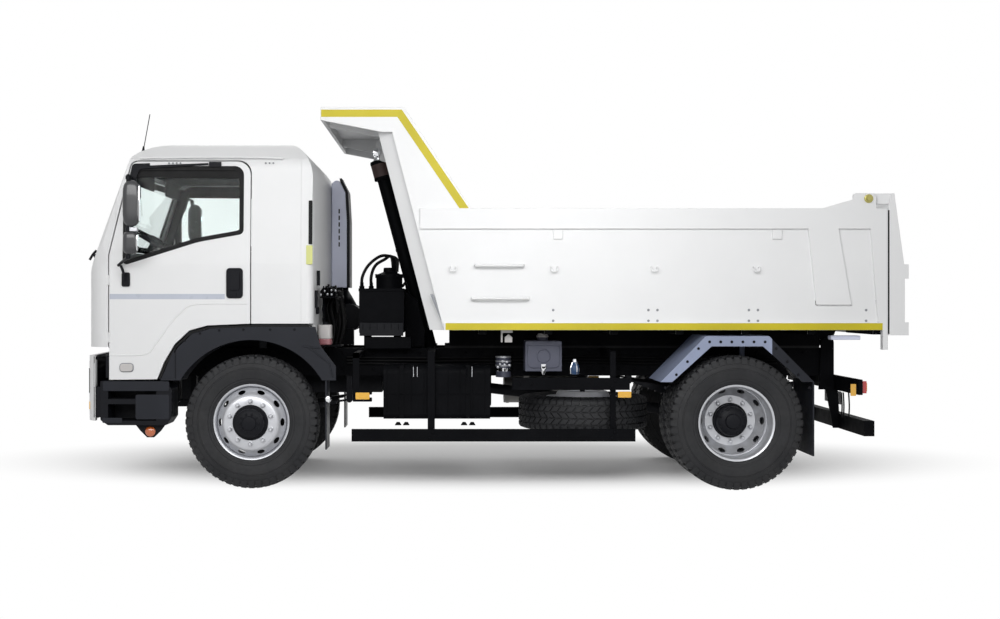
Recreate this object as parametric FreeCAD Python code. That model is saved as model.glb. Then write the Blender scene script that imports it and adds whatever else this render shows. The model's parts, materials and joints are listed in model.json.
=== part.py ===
"""Two-axle dump truck: one STEP file for each sub-part, in millimetres.

x runs from the front to the rear, y to the truck's right and z up. The origin is on the ground
under the middle of the truck's box. Most places are given from the front axle (x_front) or from
the rear axle (x_rear), so the truck follows its wheelbase.
"""
import FreeCAD
import Part
import math
import os

# ---- layout ----
WHEELBASE = 3790
FRONT_OVERHANG = 1364
REAR_OVERHANG = 1325
X_FRONT = (FRONT_OVERHANG - REAR_OVERHANG - WHEELBASE) / 2
X_REAR = X_FRONT + WHEELBASE
RUN = 0.08          # gap of a running or seated fit
GAP = 9             # gap round doors and between panels that move apart
MOUNT_BORE = 23     # towing pin bore, radius

# ---- wheels ----
TYRE_RADIUS = 525
TYRE_HALF_WIDTH = 139.5
BEAD_RADIUS = 287
RIM_HALF_WIDTH = 105
RIM_FLANGE_RADIUS = 298.5
RIM_THICK = 9
DISC_THICK = 13
DISC_OFFSET = 165      # rim centre to the disc's mounting face
DISC_BORE = 140.5
STUD_CIRCLE = 167.5
STUD_RADIUS = 11
STUD_COUNT = 10
NUT_RADIUS = 19
NUT_LENGTH = 38
HAND_HOLE_CIRCLE = 238
HAND_HOLE_RADIUS = 20
FRONT_TRACK_HALF = 985
REAR_DISC_Y = 922
DRUM_RADIUS = 205
DRUM_DEPTH = 190           # from the hub flange's face
HUB_FLANGE = 22
HUB_BARREL = 150
HUB_BARREL_RADIUS = 95
SPINDLE_RADIUS = 45
FRONT_NOSE = 92
FRONT_NOSE_RADIUS = 114
REAR_NOSE = 150
REAR_NOSE_RADIUS = 132

# ---- frame ----
RAIL_TOP = 1084
RAIL_HEIGHT = 230
RAIL_OUTER_Y = 425
RAIL_THICK = 8
RAIL_FLANGE = 75
RAIL_FRONT_END = 1150      # ahead of the front axle
RAIL_REAR_END = 965        # behind the rear axle
STRIP_HEIGHT = 20          # rubber strip between a rail and the bed's sill
PLATE = 20                 # bracket plates
COUPLING_PLATE = 20
COUPLING_HOLE = 10.5
COUPLING_Y = 160
COUPLING_Z = 100
LAMP_BAR_Z0 = 740
LAMP_BAR_Z1 = 860
LAMP_BAR_DEPTH = 32
LAMP_BAR_HALF = 1150
UNDERRUN_Z0 = 420
UNDERRUN_Z1 = 540
UNDERRUN_HALF = 1180
UNDERRUN_DEPTH = 80

# ---- engine and driveline ----
ENGINE_HALF = 290
ENGINE_Z0 = 640
ENGINE_Z1 = 1170
ENGINE_REAR = 330          # behind the front axle
GEARBOX_REAR = 980         # behind the front axle
SHAFT_Z = 830
SHAFT_RADIUS = 45

# ---- front axle and steering ----
KINGPIN_Y = 870
KINGPIN_RADIUS = 22
BEAM_DROP = 85             # wheel centre down to the beam's middle
BEAM_HEIGHT = 90
BEAM_WIDTH = 90
YOKE_HEIGHT = 60           # half height of the axle's end boss
ARM_LENGTH = 200           # kingpin back to the tie rod's ball
TIE_ROD_RADIUS = 18
TIE_ROD_DROP = 120         # wheel centre down to the tie rod
AXLE_TUBE_RADIUS = 65      # rear axle's arms
BANJO_RADIUS = 195
BALL_STUD = 10

# ---- springs ----
FRONT_SPRING_HALF = 720
REAR_SPRING_HALF = 740
LEAF_THICK = 14
LEAF_WIDTH = 80
FRONT_LEAVES = 5
REAR_LEAVES = 9
LEAF_RISE = 90
LEAF_SEAT = 160
SPRING_EYE = 24
SPRING_Y = 385

# ---- cab ----
CAB_FRONT = 1340           # ahead of the front axle, on the centre line
CAB_REAR = 487             # behind the front axle
CAB_HALF = 1130
CAB_SWEEP = 55             # how far the front curves back at its corners
CAB_NOSE_Z = 1115
CAB_SIDE_Z = 1298          # lower edge behind the door
CAB_TOP = 2764
CAB_GUTTER_Z = CAB_TOP - 181
WAIST_Z = 1766              # the sides lean in above it
CAB_WALL = 42
CAB_FLOOR_Z = 1240
CAB_FLOOR_THICK = 40
SCREEN_BASE_X = 1262       # windscreen's foot, ahead of the front axle
SCREEN_BASE_Z = 1870
SCREEN_SLOPE = 0.36        # back per unit of height
SCREEN_SWEEP = 40
SCREEN_CORNER = 75
SCREEN_HALF = CAB_HALF - 145
GLASS_THICK = 6
DOOR_FRONT = 1112          # ahead of the front axle
HINGE_PIN = 7
HINGE_LENGTH = 80
HINGE_Z = (1150, 1600)
DOOR_REAR = 8
DOOR_TOP_FRONT = 938
DOOR_FOOT_Z = 858
DOOR_TOP_Z = CAB_TOP - 189
WINDOW_TOP_Z = CAB_TOP - 239
WINDOW_BEND_Z = CAB_TOP - 514
SCREEN_TOP_Z = CAB_TOP - 249
CAB_PIVOT_X = 1258         # ahead of the front axle
CAB_PIVOT_Z = 1096
PIVOT_PIN = 14

CAB_LOW_Z = 700            # the cab's form runs down to here before it is trimmed
CORNER = 190               # front corners in plan
FRONT_BEND = 6000          # the front's bow between its corners, in plan
TUMBLE = 42                # how far the side windows lean in
ROOF_REAR_RADIUS = 320
BACK_LEAN = 8
ROOF_JOINT_Z = CAB_TOP - 164
STEPWELL_FRONT = 1104
ROCKER_INNER = CAB_HALF - 90
ROCKER_OUTER = CAB_HALF - 25
STEPWELL_REAR = 745
WELL_INNER = CAB_HALF - 250
TUNNEL_HALF = 400
TUNNEL_TOP = 1450
LUG_RADIUS = 18
SEAT_Y = CAB_HALF - 470
STEERING_RADIUS = 220
MIRROR_OUT = 220
MIRROR_Z0 = CAB_TOP - 720
MIRROR_Z1 = CAB_TOP - 358
MIRROR_TUBE = 14
SNORKEL_Y = 560

# ---- bumper, steps and mudguards ----
BUMPER_REAR = 1229         # ahead of the front axle
BUMPER_SWEEP = 70
BUMPER_WALL = 40
BUMPER_Z0 = 535
BUMPER_Z1 = 1045
LAMP_INNER = CAB_HALF - 490
LAMP_OUTER = CAB_HALF - 130
LAMP_Z0 = 760
LAMP_Z1 = 930
LAMP_DEPTH = 40
STEP_FRONT = 1181
STEP_REAR = 623
STEP_DEPTH = 270
STEP_Z0 = 502
STEP_Z1 = 848
ARCH_RADIUS = 645
ARCH_THICK = 12
ARCH_DEPTH = 290
FLARE_GAP = 16             # more than the panel gap: the door swings and the cab lifts past it
FLAP_Z0 = 310
REAR_GUARD_TOP = 1203

# ---- bed ----
BED_HALF = 1250
BED_LOW_Z = 1250
BED_RAIL_TOP = 2194
BED_RAIL_LOW = 2035
BED_PANEL_IN = 22          # panel's face inside the rails and posts
BED_WALL = 40
BED_FLOOR_THICK = 50
BED_LEAN = 0.262           # front wall forward per unit of height
BED_FOOT_X = 1400          # front wall's foot, behind the front axle
BED_CHAMFER = 112
BED_REAR = 1162            # side panels' rear end, behind the rear axle
SILL_WIDTH = 60
SILL_SHORT = 60            # sills and strips end this far ahead of the pivot
CANOPY_TOP = 2982
CANOPY_TIP_X = 553         # behind the front axle
CANOPY_HEEL_X = 1202
CANOPY_PLATE = 30
BED_PIVOT_X = 910          # behind the rear axle
BED_PIVOT_Z = 1125
BED_PIN_RADIUS = 25
RECESS_HALF = 160          # hoist recess in the front wall
RECESS_DEPTH = 230

POST_LOW_Z = 1098
EAR_THICK = 24
BEARER_DROP = 35
BED_EYE_RADIUS = 35

# ---- tailgate ----
GATE_PIN_X = 1013          # behind the rear axle
GATE_PIN_Z = 2269
GATE_PIN_RADIUS = 16
GATE_THICK = 30
GATE_CLEAR = 4
GATE_GAP = 6               # from the side panels' rear ends
GATE_HEAD_X = 1214         # the gate's upper outer edge, behind the rear axle
GATE_BEND_Z = 1724
GATE_RIB = 30              # how far the cross ribs stand out
GATE_ARM = 40

# ---- hoist ----
HOIST_FOOT_X = 1390        # behind the front axle
HOIST_FOOT_Z = 1050
HOIST_HEAD_X = 933
HOIST_HEAD_Z = CANOPY_TOP - 230
HOIST_RADIUS = 63
COLLAR_RADIUS = 82
STAGE_RADII = (56, 49, 42)
HOIST_PIN = 20
FOOT_RADIUS = 46
COLLAR_BELOW_EYE = 62
COLLAR_LENGTH = 170
EYE_HALF = 70
EYE_RADIUS = 40
CHEEK_Y = 98
OIL_TANK_INNER = 110

# ---- equipment on the frame ----
GUARD_Y = 1180
SPARE_X = WHEELBASE - 1143             # behind the front axle
SPARE_Y = 600
SPARE_Z = 575


def vec(x, y, z):
    return FreeCAD.Vector(x, y, z)


def outline(corners, place):
    """Closed wire through (u, v) or (u, v, radius) corners; place(u, v) gives the point in space."""
    ends = []
    for i, corner in enumerate(corners):
        here = vec(corner[0], corner[1], 0)
        radius = corner[2] if len(corner) > 2 else 0
        before = vec(*corners[i - 1][:2], 0) - here
        after = vec(*corners[(i + 1) % len(corners)][:2], 0) - here
        if not radius:
            ends.append((here, None, here))
            continue
        before.normalize()
        after.normalize()
        half = before.getAngle(after) / 2
        reach = radius / math.tan(half)
        middle = (before + after).normalize()
        crown = here + middle * (radius / math.sin(half) - radius)
        ends.append((here + before * reach, crown, here + after * reach))
    edges = []
    for i, (start, crown, stop) in enumerate(ends):
        if crown:
            edges.append(Part.Arc(*(place(p.x, p.y) for p in (start, crown, stop))).toShape())
        onward = ends[(i + 1) % len(ends)][0]
        if stop.distanceToPoint(onward) > 1e-6:
            edges.append(Part.makeLine(place(stop.x, stop.y), place(onward.x, onward.y)))
    return Part.Wire(edges)


def box(x0, x1, y0, y1, z0, z1):
    return Part.makeBox(x1 - x0, y1 - y0, z1 - z0, vec(x0, y0, z0))


def prism_y(corners, y0, y1):
    """Solid between y0 and y1 whose outline is in x and z."""
    face = Part.Face(outline(corners, lambda u, v: vec(u, y0, v)))
    return face.extrude(vec(0, y1 - y0, 0))


def prism_x(corners, x0, x1):
    """Solid between x0 and x1 whose outline is in y and z."""
    face = Part.Face(outline(corners, lambda u, v: vec(x0, u, v)))
    return face.extrude(vec(x1 - x0, 0, 0))


def prism_z(corners, z0, z1, lean=0):
    """Solid between z0 and z1 whose outline is in x and y; lean is its shift in x per unit of z."""
    face = Part.Face(outline(corners, lambda u, v: vec(u, v, z0)))
    return face.extrude(vec(lean * (z1 - z0), 0, z1 - z0))


def turned(profile, x, z):
    """Solid of revolution about the line along y through (x, z); the profile is (y, radius)."""
    face = Part.Face(outline(profile, lambda u, v: vec(x, u, z + v)))
    return face.revolve(vec(x, 0, z), vec(0, 1, 0), 360)


def rod(start, end, radius):
    return Part.makeCylinder(radius, start.distanceToPoint(end), start, end - start)


def rod_y(x, z, y0, y1, radius):
    return Part.makeCylinder(radius, y1 - y0, vec(x, y0, z), vec(0, 1, 0))


def tube(start, end, outer, inner):
    return rod(start, end, outer).cut(rod(start, end, inner))


def joined(*shapes):
    return shapes[0].fuse(list(shapes[1:])).removeSplitter()


def mirrored(shape):
    return shape.mirror(vec(0, 0, 0), vec(0, 1, 0))


def both_sides(shape):
    return Part.makeCompound([shape, mirrored(shape)])


def side_pair(name, shape):
    """The truck's left sub-part and its mirror image as two nodes."""
    return {name + "_left": shape, name + "_right": mirrored(shape)}


# ---- wheels: each is built on the left, where outboard is -y ----

def tyre(x, y):
    """Ring with flat tread, shoulders and bulging sides, seated on its rim."""
    half = [  # out from the tyre's middle plane, radius
        (RIM_HALF_WIDTH - RIM_THICK, BEAD_RADIUS),
        (RIM_HALF_WIDTH, BEAD_RADIUS + 40),
        (TYRE_HALF_WIDTH, TYRE_RADIUS - 118),
        (TYRE_HALF_WIDTH - 5, TYRE_RADIUS - 58),
        (TYRE_HALF_WIDTH - 23, TYRE_RADIUS - 14),
        (TYRE_HALF_WIDTH - 48, TYRE_RADIUS),
    ]
    profile = [(y - u, r) for u, r in half] + [(y + u, r) for u, r in reversed(half)]
    return turned(profile, x, TYRE_RADIUS)


def rim_profile(y):
    """Rim section from flange to flange, as (y, radius) corners."""
    outside, inside = BEAD_RADIUS - RUN, BEAD_RADIUS - RUN - RIM_THICK
    edge, bead = RIM_HALF_WIDTH + 2 * RIM_THICK, RIM_HALF_WIDTH - RIM_THICK
    return [
        (y - edge, RIM_FLANGE_RADIUS), (y - edge, inside), (y + edge, inside),
        (y + edge, RIM_FLANGE_RADIUS), (y + RIM_HALF_WIDTH + RUN, RIM_FLANGE_RADIUS),
        (y + RIM_HALF_WIDTH + RUN, BEAD_RADIUS), (y + bead, outside), (y - bead, outside),
        (y - RIM_HALF_WIDTH - RUN, BEAD_RADIUS), (y - RIM_HALF_WIDTH - RUN, RIM_FLANGE_RADIUS),
    ]


def disc_wheel(x, rim_y, face_y):
    """Rim with a dished disc whose mounting face is at face_y, hand holes and stud holes."""
    towards = 1 if rim_y > face_y else -1
    inside = BEAD_RADIUS - RUN - RIM_THICK / 2
    knee = face_y + towards * 15
    seat = face_y + towards * 88
    dish = [
        (face_y, DISC_BORE), (face_y, STUD_CIRCLE + 40), (seat, inside),
        (seat + towards * 30, inside), (seat + towards * 30, inside - DISC_THICK),
        (knee + towards * 12, STUD_CIRCLE + 36), (face_y + towards * DISC_THICK, STUD_CIRCLE + 30),
        (face_y + towards * DISC_THICK, DISC_BORE),
    ]
    wheel = joined(turned(rim_profile(rim_y), x, TYRE_RADIUS), turned(dish, x, TYRE_RADIUS))
    cuts = []
    for i in range(STUD_COUNT):
        turn = 2 * math.pi * i / STUD_COUNT
        offset = math.pi / STUD_COUNT
        cuts.append(rod_y(x + STUD_CIRCLE * math.cos(turn), TYRE_RADIUS + STUD_CIRCLE * math.sin(turn),
                          face_y - 40, face_y + 40, STUD_RADIUS + 1))
        cuts.append(rod_y(x + HAND_HOLE_CIRCLE * math.cos(turn + offset),
                          TYRE_RADIUS + HAND_HOLE_CIRCLE * math.sin(turn + offset),
                          min(face_y, seat + towards * 60), max(face_y, seat + towards * 60),
                          HAND_HOLE_RADIUS))
    return wheel.cut(cuts)


def studs(x, y_in, y_out):
    """Ring of studs with nuts; y_out is the nuts' outboard end."""
    pieces = []
    for i in range(STUD_COUNT):
        turn = 2 * math.pi * i / STUD_COUNT
        px, pz = x + STUD_CIRCLE * math.cos(turn), TYRE_RADIUS + STUD_CIRCLE * math.sin(turn)
        pieces.append(rod_y(px, pz, y_out, y_in, STUD_RADIUS))
        pieces.append(rod_y(px, pz, y_out + 8, y_out + 8 + NUT_LENGTH, NUT_RADIUS))
    return pieces


def hub(x, face_y, disc_stack, nose, nose_radius):
    """Hub with its brake drum, studs and closed cap; face_y is the flange's outboard face."""
    stack_y = face_y - disc_stack
    drum_y = face_y + HUB_FLANGE
    profile = [
        (stack_y - nose, 0), (stack_y - nose, nose_radius - 20), (stack_y - nose + 20, nose_radius),
        (stack_y, nose_radius), (stack_y, DISC_BORE - RUN), (face_y, DISC_BORE - RUN),
        (face_y, STUD_CIRCLE + 27), (drum_y, STUD_CIRCLE + 27), (drum_y, DRUM_RADIUS),
        (face_y + DRUM_DEPTH, DRUM_RADIUS), (face_y + DRUM_DEPTH, DRUM_RADIUS - 14),
        (drum_y + 14, DRUM_RADIUS - 14), (drum_y + 14, HUB_BARREL_RADIUS),
        (face_y + HUB_BARREL, HUB_BARREL_RADIUS), (face_y + HUB_BARREL, SPINDLE_RADIUS + RUN),
        (stack_y + 10, SPINDLE_RADIUS + RUN), (stack_y + 10, 0),
    ]
    body = turned(profile, x, TYRE_RADIUS)
    return joined(body, *studs(x, face_y + HUB_FLANGE / 2, stack_y - NUT_LENGTH - 8))


def front_wheels():
    face = -FRONT_TRACK_HALF - DISC_OFFSET
    wheel = disc_wheel(X_FRONT, -FRONT_TRACK_HALF, face - DISC_THICK)
    wheel = joined(wheel, hub(X_FRONT, face, DISC_THICK, FRONT_NOSE, FRONT_NOSE_RADIUS))
    return {**side_pair("front_tyre", tyre(X_FRONT, -FRONT_TRACK_HALF)),
            **side_pair("front_wheel", wheel)}


def rear_wheels():
    """Twin wheels bolted back to back on one hub."""
    outer, inner = -REAR_DISC_Y - DISC_OFFSET, -REAR_DISC_Y + DISC_OFFSET
    wheel = joined(disc_wheel(X_REAR, outer, -REAR_DISC_Y), disc_wheel(X_REAR, inner, -REAR_DISC_Y),
                   hub(X_REAR, -REAR_DISC_Y + DISC_THICK, 2 * DISC_THICK, REAR_NOSE, REAR_NOSE_RADIUS))
    twins = Part.makeCompound([tyre(X_REAR, outer), tyre(X_REAR, inner)])
    return {**side_pair("rear_tyres", twins), **side_pair("rear_wheels", wheel)}


# ---- steering and axles ----

def knuckle():
    """Left knuckle: yoke round the axle's end, kingpin, spindle, brake plate and steering arm."""
    z, y = TYRE_RADIUS, -KINGPIN_Y
    web_in, web_out = y - BEAM_WIDTH / 2 - 8, y - BEAM_WIDTH / 2 - 32
    lug_in, lug_out = YOKE_HEIGHT + 5, YOKE_HEIGHT + 45
    half = BEAM_WIDTH / 2
    brake_y = -FRONT_TRACK_HALF - DISC_OFFSET + DRUM_DEPTH + 5
    ball_z = z - TIE_ROD_DROP
    pieces = [
        box(X_FRONT - half, X_FRONT + half, web_out, y + half - 5, z + lug_in, z + lug_out),
        box(X_FRONT - half, X_FRONT + half, web_out, y + half - 5, z - lug_out, z - lug_in),
        box(X_FRONT - half, X_FRONT + half, web_out, web_in, z - lug_out, z + lug_out),
        rod(vec(X_FRONT, y, z - lug_out), vec(X_FRONT, y, z + lug_out), KINGPIN_RADIUS),
        rod_y(X_FRONT, z, -FRONT_TRACK_HALF - DISC_OFFSET, web_out, SPINDLE_RADIUS),
        rod_y(X_FRONT, z, brake_y, brake_y + 8, DRUM_RADIUS - 5),
        rod_y(X_FRONT, z, brake_y, web_out, 70),
        box(X_FRONT, X_FRONT + ARM_LENGTH + 20, y - 15, y + 15, ball_z + 27, ball_z + 53),
        rod(vec(X_FRONT + ARM_LENGTH, y, ball_z - 25), vec(X_FRONT + ARM_LENGTH, y, ball_z + 40),
            BALL_STUD),
    ]
    return joined(*pieces)


def tie_rod():
    """Rod between the two arms, with an eye round each arm's stud."""
    x, z = X_FRONT + ARM_LENGTH, TYRE_RADIUS - TIE_ROD_DROP
    shape = joined(
        rod_y(x, z, -KINGPIN_Y, KINGPIN_Y, TIE_ROD_RADIUS),
        *[rod(vec(x, y, z - 22), vec(x, y, z + 22), 28) for y in (-KINGPIN_Y, KINGPIN_Y)])
    return shape.cut([rod(vec(x, y, z - 30), vec(x, y, z + 30), BALL_STUD + RUN)
                      for y in (-KINGPIN_Y, KINGPIN_Y)])


def front_axle():
    """Dropped beam with a round end boss at each kingpin and a pad under each spring."""
    z = TYRE_RADIUS
    low, high = z - BEAM_DROP - BEAM_HEIGHT / 2, z - BEAM_DROP + BEAM_HEIGHT / 2
    neck = BEAM_WIDTH / 2 + 35
    right = [
        (600, low), (KINGPIN_Y - neck - 30, z - YOKE_HEIGHT), (KINGPIN_Y, z - YOKE_HEIGHT),
        (KINGPIN_Y, z + YOKE_HEIGHT), (KINGPIN_Y - neck, z + YOKE_HEIGHT), (600, high),
    ]
    corners = right + [(-y, v) for y, v in reversed(right)]
    beam = prism_x(corners, X_FRONT - BEAM_WIDTH / 2 + 12, X_FRONT + BEAM_WIDTH / 2 - 12)
    pieces = [beam]
    for side in (-1, 1):
        y = side * KINGPIN_Y
        pieces.append(rod(vec(X_FRONT, y, z - YOKE_HEIGHT), vec(X_FRONT, y, z + YOKE_HEIGHT),
                          BEAM_WIDTH / 2))
        pad = side * SPRING_Y
        pieces.append(box(X_FRONT - 60, X_FRONT + 60, pad - 50, pad + 50, high - 20, high + 15))
    axle = joined(*pieces)
    return axle.cut([rod(vec(X_FRONT, s * KINGPIN_Y, z - 90), vec(X_FRONT, s * KINGPIN_Y, z + 90),
                         KINGPIN_RADIUS + RUN) for s in (-1, 1)])


def rear_axle():
    """Banjo housing with its nose, arms, brake plates and the spindles in the hubs."""
    z = TYRE_RADIUS
    face = REAR_DISC_Y - DISC_THICK
    plate = face - DRUM_DEPTH - 5
    pieces = [
        Part.makeSphere(BANJO_RADIUS, vec(X_REAR, 0, z)).common(
            box(X_REAR - 170, X_REAR + 170, -200, 200, z - 200, z + 200)),
        Part.makeCone(60, 130, 190, vec(X_REAR - 330, 0, z + 20), vec(1, 0, 0)),
        rod_y(X_REAR, z, -plate, plate, AXLE_TUBE_RADIUS),
        rod_y(X_REAR, z, -face, face, SPINDLE_RADIUS),
    ]
    for side in (-1, 1):
        brake_y = side * (plate - 4)
        pieces.append(rod_y(X_REAR, z, brake_y - 4, brake_y + 4, DRUM_RADIUS - 5))
        pad = side * SPRING_Y
        pieces.append(box(X_REAR - 70, X_REAR + 70, pad - 50, pad + 50, z, z + AXLE_TUBE_RADIUS + 10))
    return joined(*pieces)


def leaf_pack(x, seat_z, half, leaves):
    """Left spring: leaves, end eyes and the hangers up to the rail's lower flange."""
    y0, y1 = -SPRING_Y - LEAF_WIDTH / 2, -SPRING_Y + LEAF_WIDTH / 2
    seat = LEAF_SEAT / 2
    pieces = []
    for i in range(leaves):
        reach = half * (0.4 + 0.6 * i / (leaves - 1))
        low, rise = seat_z + i * LEAF_THICK, LEAF_RISE * reach / half
        corners = [
            (x - reach, low + rise), (x - seat, low), (x + seat, low), (x + reach, low + rise),
            (x + reach, low + rise + LEAF_THICK), (x + seat, low + LEAF_THICK),
            (x - seat, low + LEAF_THICK), (x - reach, low + rise + LEAF_THICK),
        ]
        pieces.append(prism_y(corners, y0, y1))
    eye_z = seat_z + (leaves - 0.5) * LEAF_THICK + LEAF_RISE
    for end in (-1, 1):
        eye_x = x + end * half
        pieces.append(rod_y(eye_x, eye_z, y0, y1, SPRING_EYE))
        pieces.append(box(eye_x - SPRING_EYE, eye_x + SPRING_EYE, y0, y1, eye_z,
                          RAIL_TOP - RAIL_HEIGHT))
    return joined(*pieces)


def leaf_springs():
    front = leaf_pack(X_FRONT, TYRE_RADIUS - BEAM_DROP + BEAM_HEIGHT / 2 + 15, FRONT_SPRING_HALF,
                      FRONT_LEAVES)
    rear = leaf_pack(X_REAR, TYRE_RADIUS + AXLE_TUBE_RADIUS + 10, REAR_SPRING_HALF, REAR_LEAVES)
    return Part.makeCompound([front, rear, mirrored(front), mirrored(rear)])


# ---- frame ----

def frame_rails():
    """Channel rails, open towards the middle."""
    low = RAIL_TOP - RAIL_HEIGHT
    y0, y1, t = -RAIL_OUTER_Y, -RAIL_OUTER_Y + RAIL_FLANGE, RAIL_THICK
    corners = [(y0, low), (y1, low), (y1, low + t), (y0 + t, low + t), (y0 + t, RAIL_TOP - t),
               (y1, RAIL_TOP - t), (y1, RAIL_TOP), (y0, RAIL_TOP)]
    return both_sides(prism_x(corners, X_FRONT - RAIL_FRONT_END, X_REAR + RAIL_REAR_END))


def crossmembers():
    """Cross pieces between the webs; the hoist's carries its two bearing plates."""
    inner = RAIL_OUTER_Y - RAIL_THICK
    low, high = RAIL_TOP - RAIL_HEIGHT + RAIL_THICK, RAIL_TOP - RAIL_THICK
    table = [  # middle x, half width along x, low z, high z
        (X_FRONT - RAIL_FRONT_END + 50, 40, low + 20, low + 120),
        (X_FRONT + GEARBOX_REAR + 90, 35, low + 50, high - 20),
        (X_FRONT + HOIST_FOOT_X, 60, low + 20, HOIST_FOOT_Z - 90),
        (X_REAR - REAR_SPRING_HALF, 35, low + 30, high - 20),
        (X_REAR + REAR_SPRING_HALF, 35, low + 10, high - 20),
    ]
    pieces = [box(x - half, x + half, -inner, inner, z0, z1) for x, half, z0, z1 in table]
    hoist_x = X_FRONT + HOIST_FOOT_X
    for side in (-1, 1):
        y = side * (HOIST_RADIUS + 22)
        plate = prism_y([(hoist_x - 50, HOIST_FOOT_Z - 95), (hoist_x + 50, HOIST_FOOT_Z - 95),
                         (hoist_x + 35, HOIST_FOOT_Z + 35, 30), (hoist_x - 35, HOIST_FOOT_Z + 35, 30)],
                        y - 10, y + 10)
        pieces[2] = joined(pieces[2], plate)
    pieces[2] = pieces[2].cut(rod_y(hoist_x, HOIST_FOOT_Z, -150, 150, HOIST_PIN + RUN))
    pieces.append(rear_crossmember(inner, low, high))
    return Part.makeCompound(pieces)


def rear_crossmember(inner, low, high):
    """End plate with the coupling's four holes."""
    x = X_REAR + RAIL_REAR_END
    plate = box(x - COUPLING_PLATE, x, -inner, inner, low, high)
    middle = (low + high) / 2
    return plate.cut([Part.makeCylinder(COUPLING_HOLE, COUPLING_PLATE, vec(x - COUPLING_PLATE, y, z),
                                        vec(1, 0, 0))
                      for y in (-COUPLING_Y / 2, COUPLING_Y / 2)
                      for z in (middle - COUPLING_Z / 2, middle + COUPLING_Z / 2)])


def bed_strips():
    """Rubber strips on the rails, under the bed's sills."""
    x0, x1 = X_FRONT + BED_FOOT_X + BED_CHAMFER, X_REAR + BED_PIVOT_X - SILL_SHORT
    return both_sides(box(x0, x1, -RAIL_OUTER_Y, -RAIL_OUTER_Y + SILL_WIDTH, RAIL_TOP,
                          RAIL_TOP + STRIP_HEIGHT))


def bed_pivot_brackets():
    """Outboard plates on the rails' ends with the bed's pivot pin through them."""
    x, x1 = X_REAR + BED_PIVOT_X, X_REAR + RAIL_REAR_END
    y = RAIL_OUTER_Y
    plate = prism_y([(x - 70, LAMP_BAR_Z0), (x1, LAMP_BAR_Z0), (x1, BED_PIVOT_Z + 40, 35),
                     (x - 50, BED_PIVOT_Z + 40, 35)], -y - PLATE, -y)
    return joined(plate, mirrored(plate),
                  rod_y(x, BED_PIVOT_Z, -y - PLATE, y + PLATE, BED_PIN_RADIUS))


def rear_bar():
    """Tail-lamp bar on the brackets and the underrun bar on its two arms below."""
    x, y = X_REAR + RAIL_REAR_END, RAIL_OUTER_Y
    lamp_bar = box(x, x + LAMP_BAR_DEPTH, -LAMP_BAR_HALF, LAMP_BAR_HALF, LAMP_BAR_Z0, LAMP_BAR_Z1)
    guard = box(x + 35, x + 35 + UNDERRUN_DEPTH, -UNDERRUN_HALF, UNDERRUN_HALF, UNDERRUN_Z0,
                UNDERRUN_Z1)
    arm = prism_y([(x - 65, LAMP_BAR_Z0), (x + LAMP_BAR_DEPTH, LAMP_BAR_Z0), (x + 45, UNDERRUN_Z1),
                   (x + 45, UNDERRUN_Z0), (x - 5, UNDERRUN_Z0)], -y - PLATE, -y)
    return joined(lamp_bar, guard, arm, mirrored(arm))


def tail_lamps():
    x = X_REAR + RAIL_REAR_END + LAMP_BAR_DEPTH
    return both_sides(box(x, x + 35, -LAMP_BAR_HALF + 15, -LAMP_BAR_HALF + 395, LAMP_BAR_Z0 + 12,
                          LAMP_BAR_Z1 - 12))


# ---- engine and driveline ----

def engine_gearbox():
    """Plain block of the engine with the gearbox behind it and four feet on the webs."""
    inner = RAIL_OUTER_Y - RAIL_THICK
    pieces = [
        box(X_FRONT - 560, X_FRONT + ENGINE_REAR, -ENGINE_HALF, ENGINE_HALF, ENGINE_Z0, ENGINE_Z1),
        box(X_FRONT + ENGINE_REAR, X_FRONT + GEARBOX_REAR, -170, 170, 700, 1000),
    ]
    for x in (X_FRONT - 350, X_FRONT + ENGINE_REAR - 60):
        pieces.append(box(x - 40, x + 40, -inner, inner, RAIL_TOP - 90, RAIL_TOP - 40))
    return joined(*pieces)


def radiator():
    """Core in its frame, with a foot on each web."""
    x = X_FRONT - 860
    inner = RAIL_OUTER_Y - RAIL_THICK
    return joined(box(x - 40, x + 40, -330, 330, 600, 1150),
                  box(x - 25, x + 25, -inner, inner, RAIL_TOP - 110, RAIL_TOP - 60))


def drive_shaft():
    """Propeller shaft from the gearbox to the rear axle's nose, with a joint at each end."""
    start = vec(X_FRONT + GEARBOX_REAR, 0, SHAFT_Z)
    end = vec(X_REAR - 330, 0, TYRE_RADIUS + 20)
    along = (end - start).normalize()
    first, last = vec(start.x + 60, 0, start.z), vec(end.x - 60, 0, end.z)
    return joined(rod(start, first, 60), rod(last, end, 60), rod(first, last, SHAFT_RADIUS),
                  Part.makeSphere(62, first + along * 5), Part.makeSphere(62, last - along * 5))


# ---- front end and cab surroundings ----

def swept_plan(front, half, sweep, rear, inset=0, corner=CORNER):
    """Plan outline with a gently swept front and rounded corners, as (x, y) corners."""
    x0, x1, y = X_FRONT - front + inset, X_FRONT + rear - inset, half - inset
    bulge = FRONT_BEND * (math.hypot(1, sweep / half) - 1)    # from the corner to its arc
    return [(x1, -y, 60 - inset / 2), (x0 + sweep, -y, corner - inset), (x0 - bulge, 0, FRONT_BEND),
            (x0 + sweep, y, corner - inset), (x1, y, 60 - inset / 2)]


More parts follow.
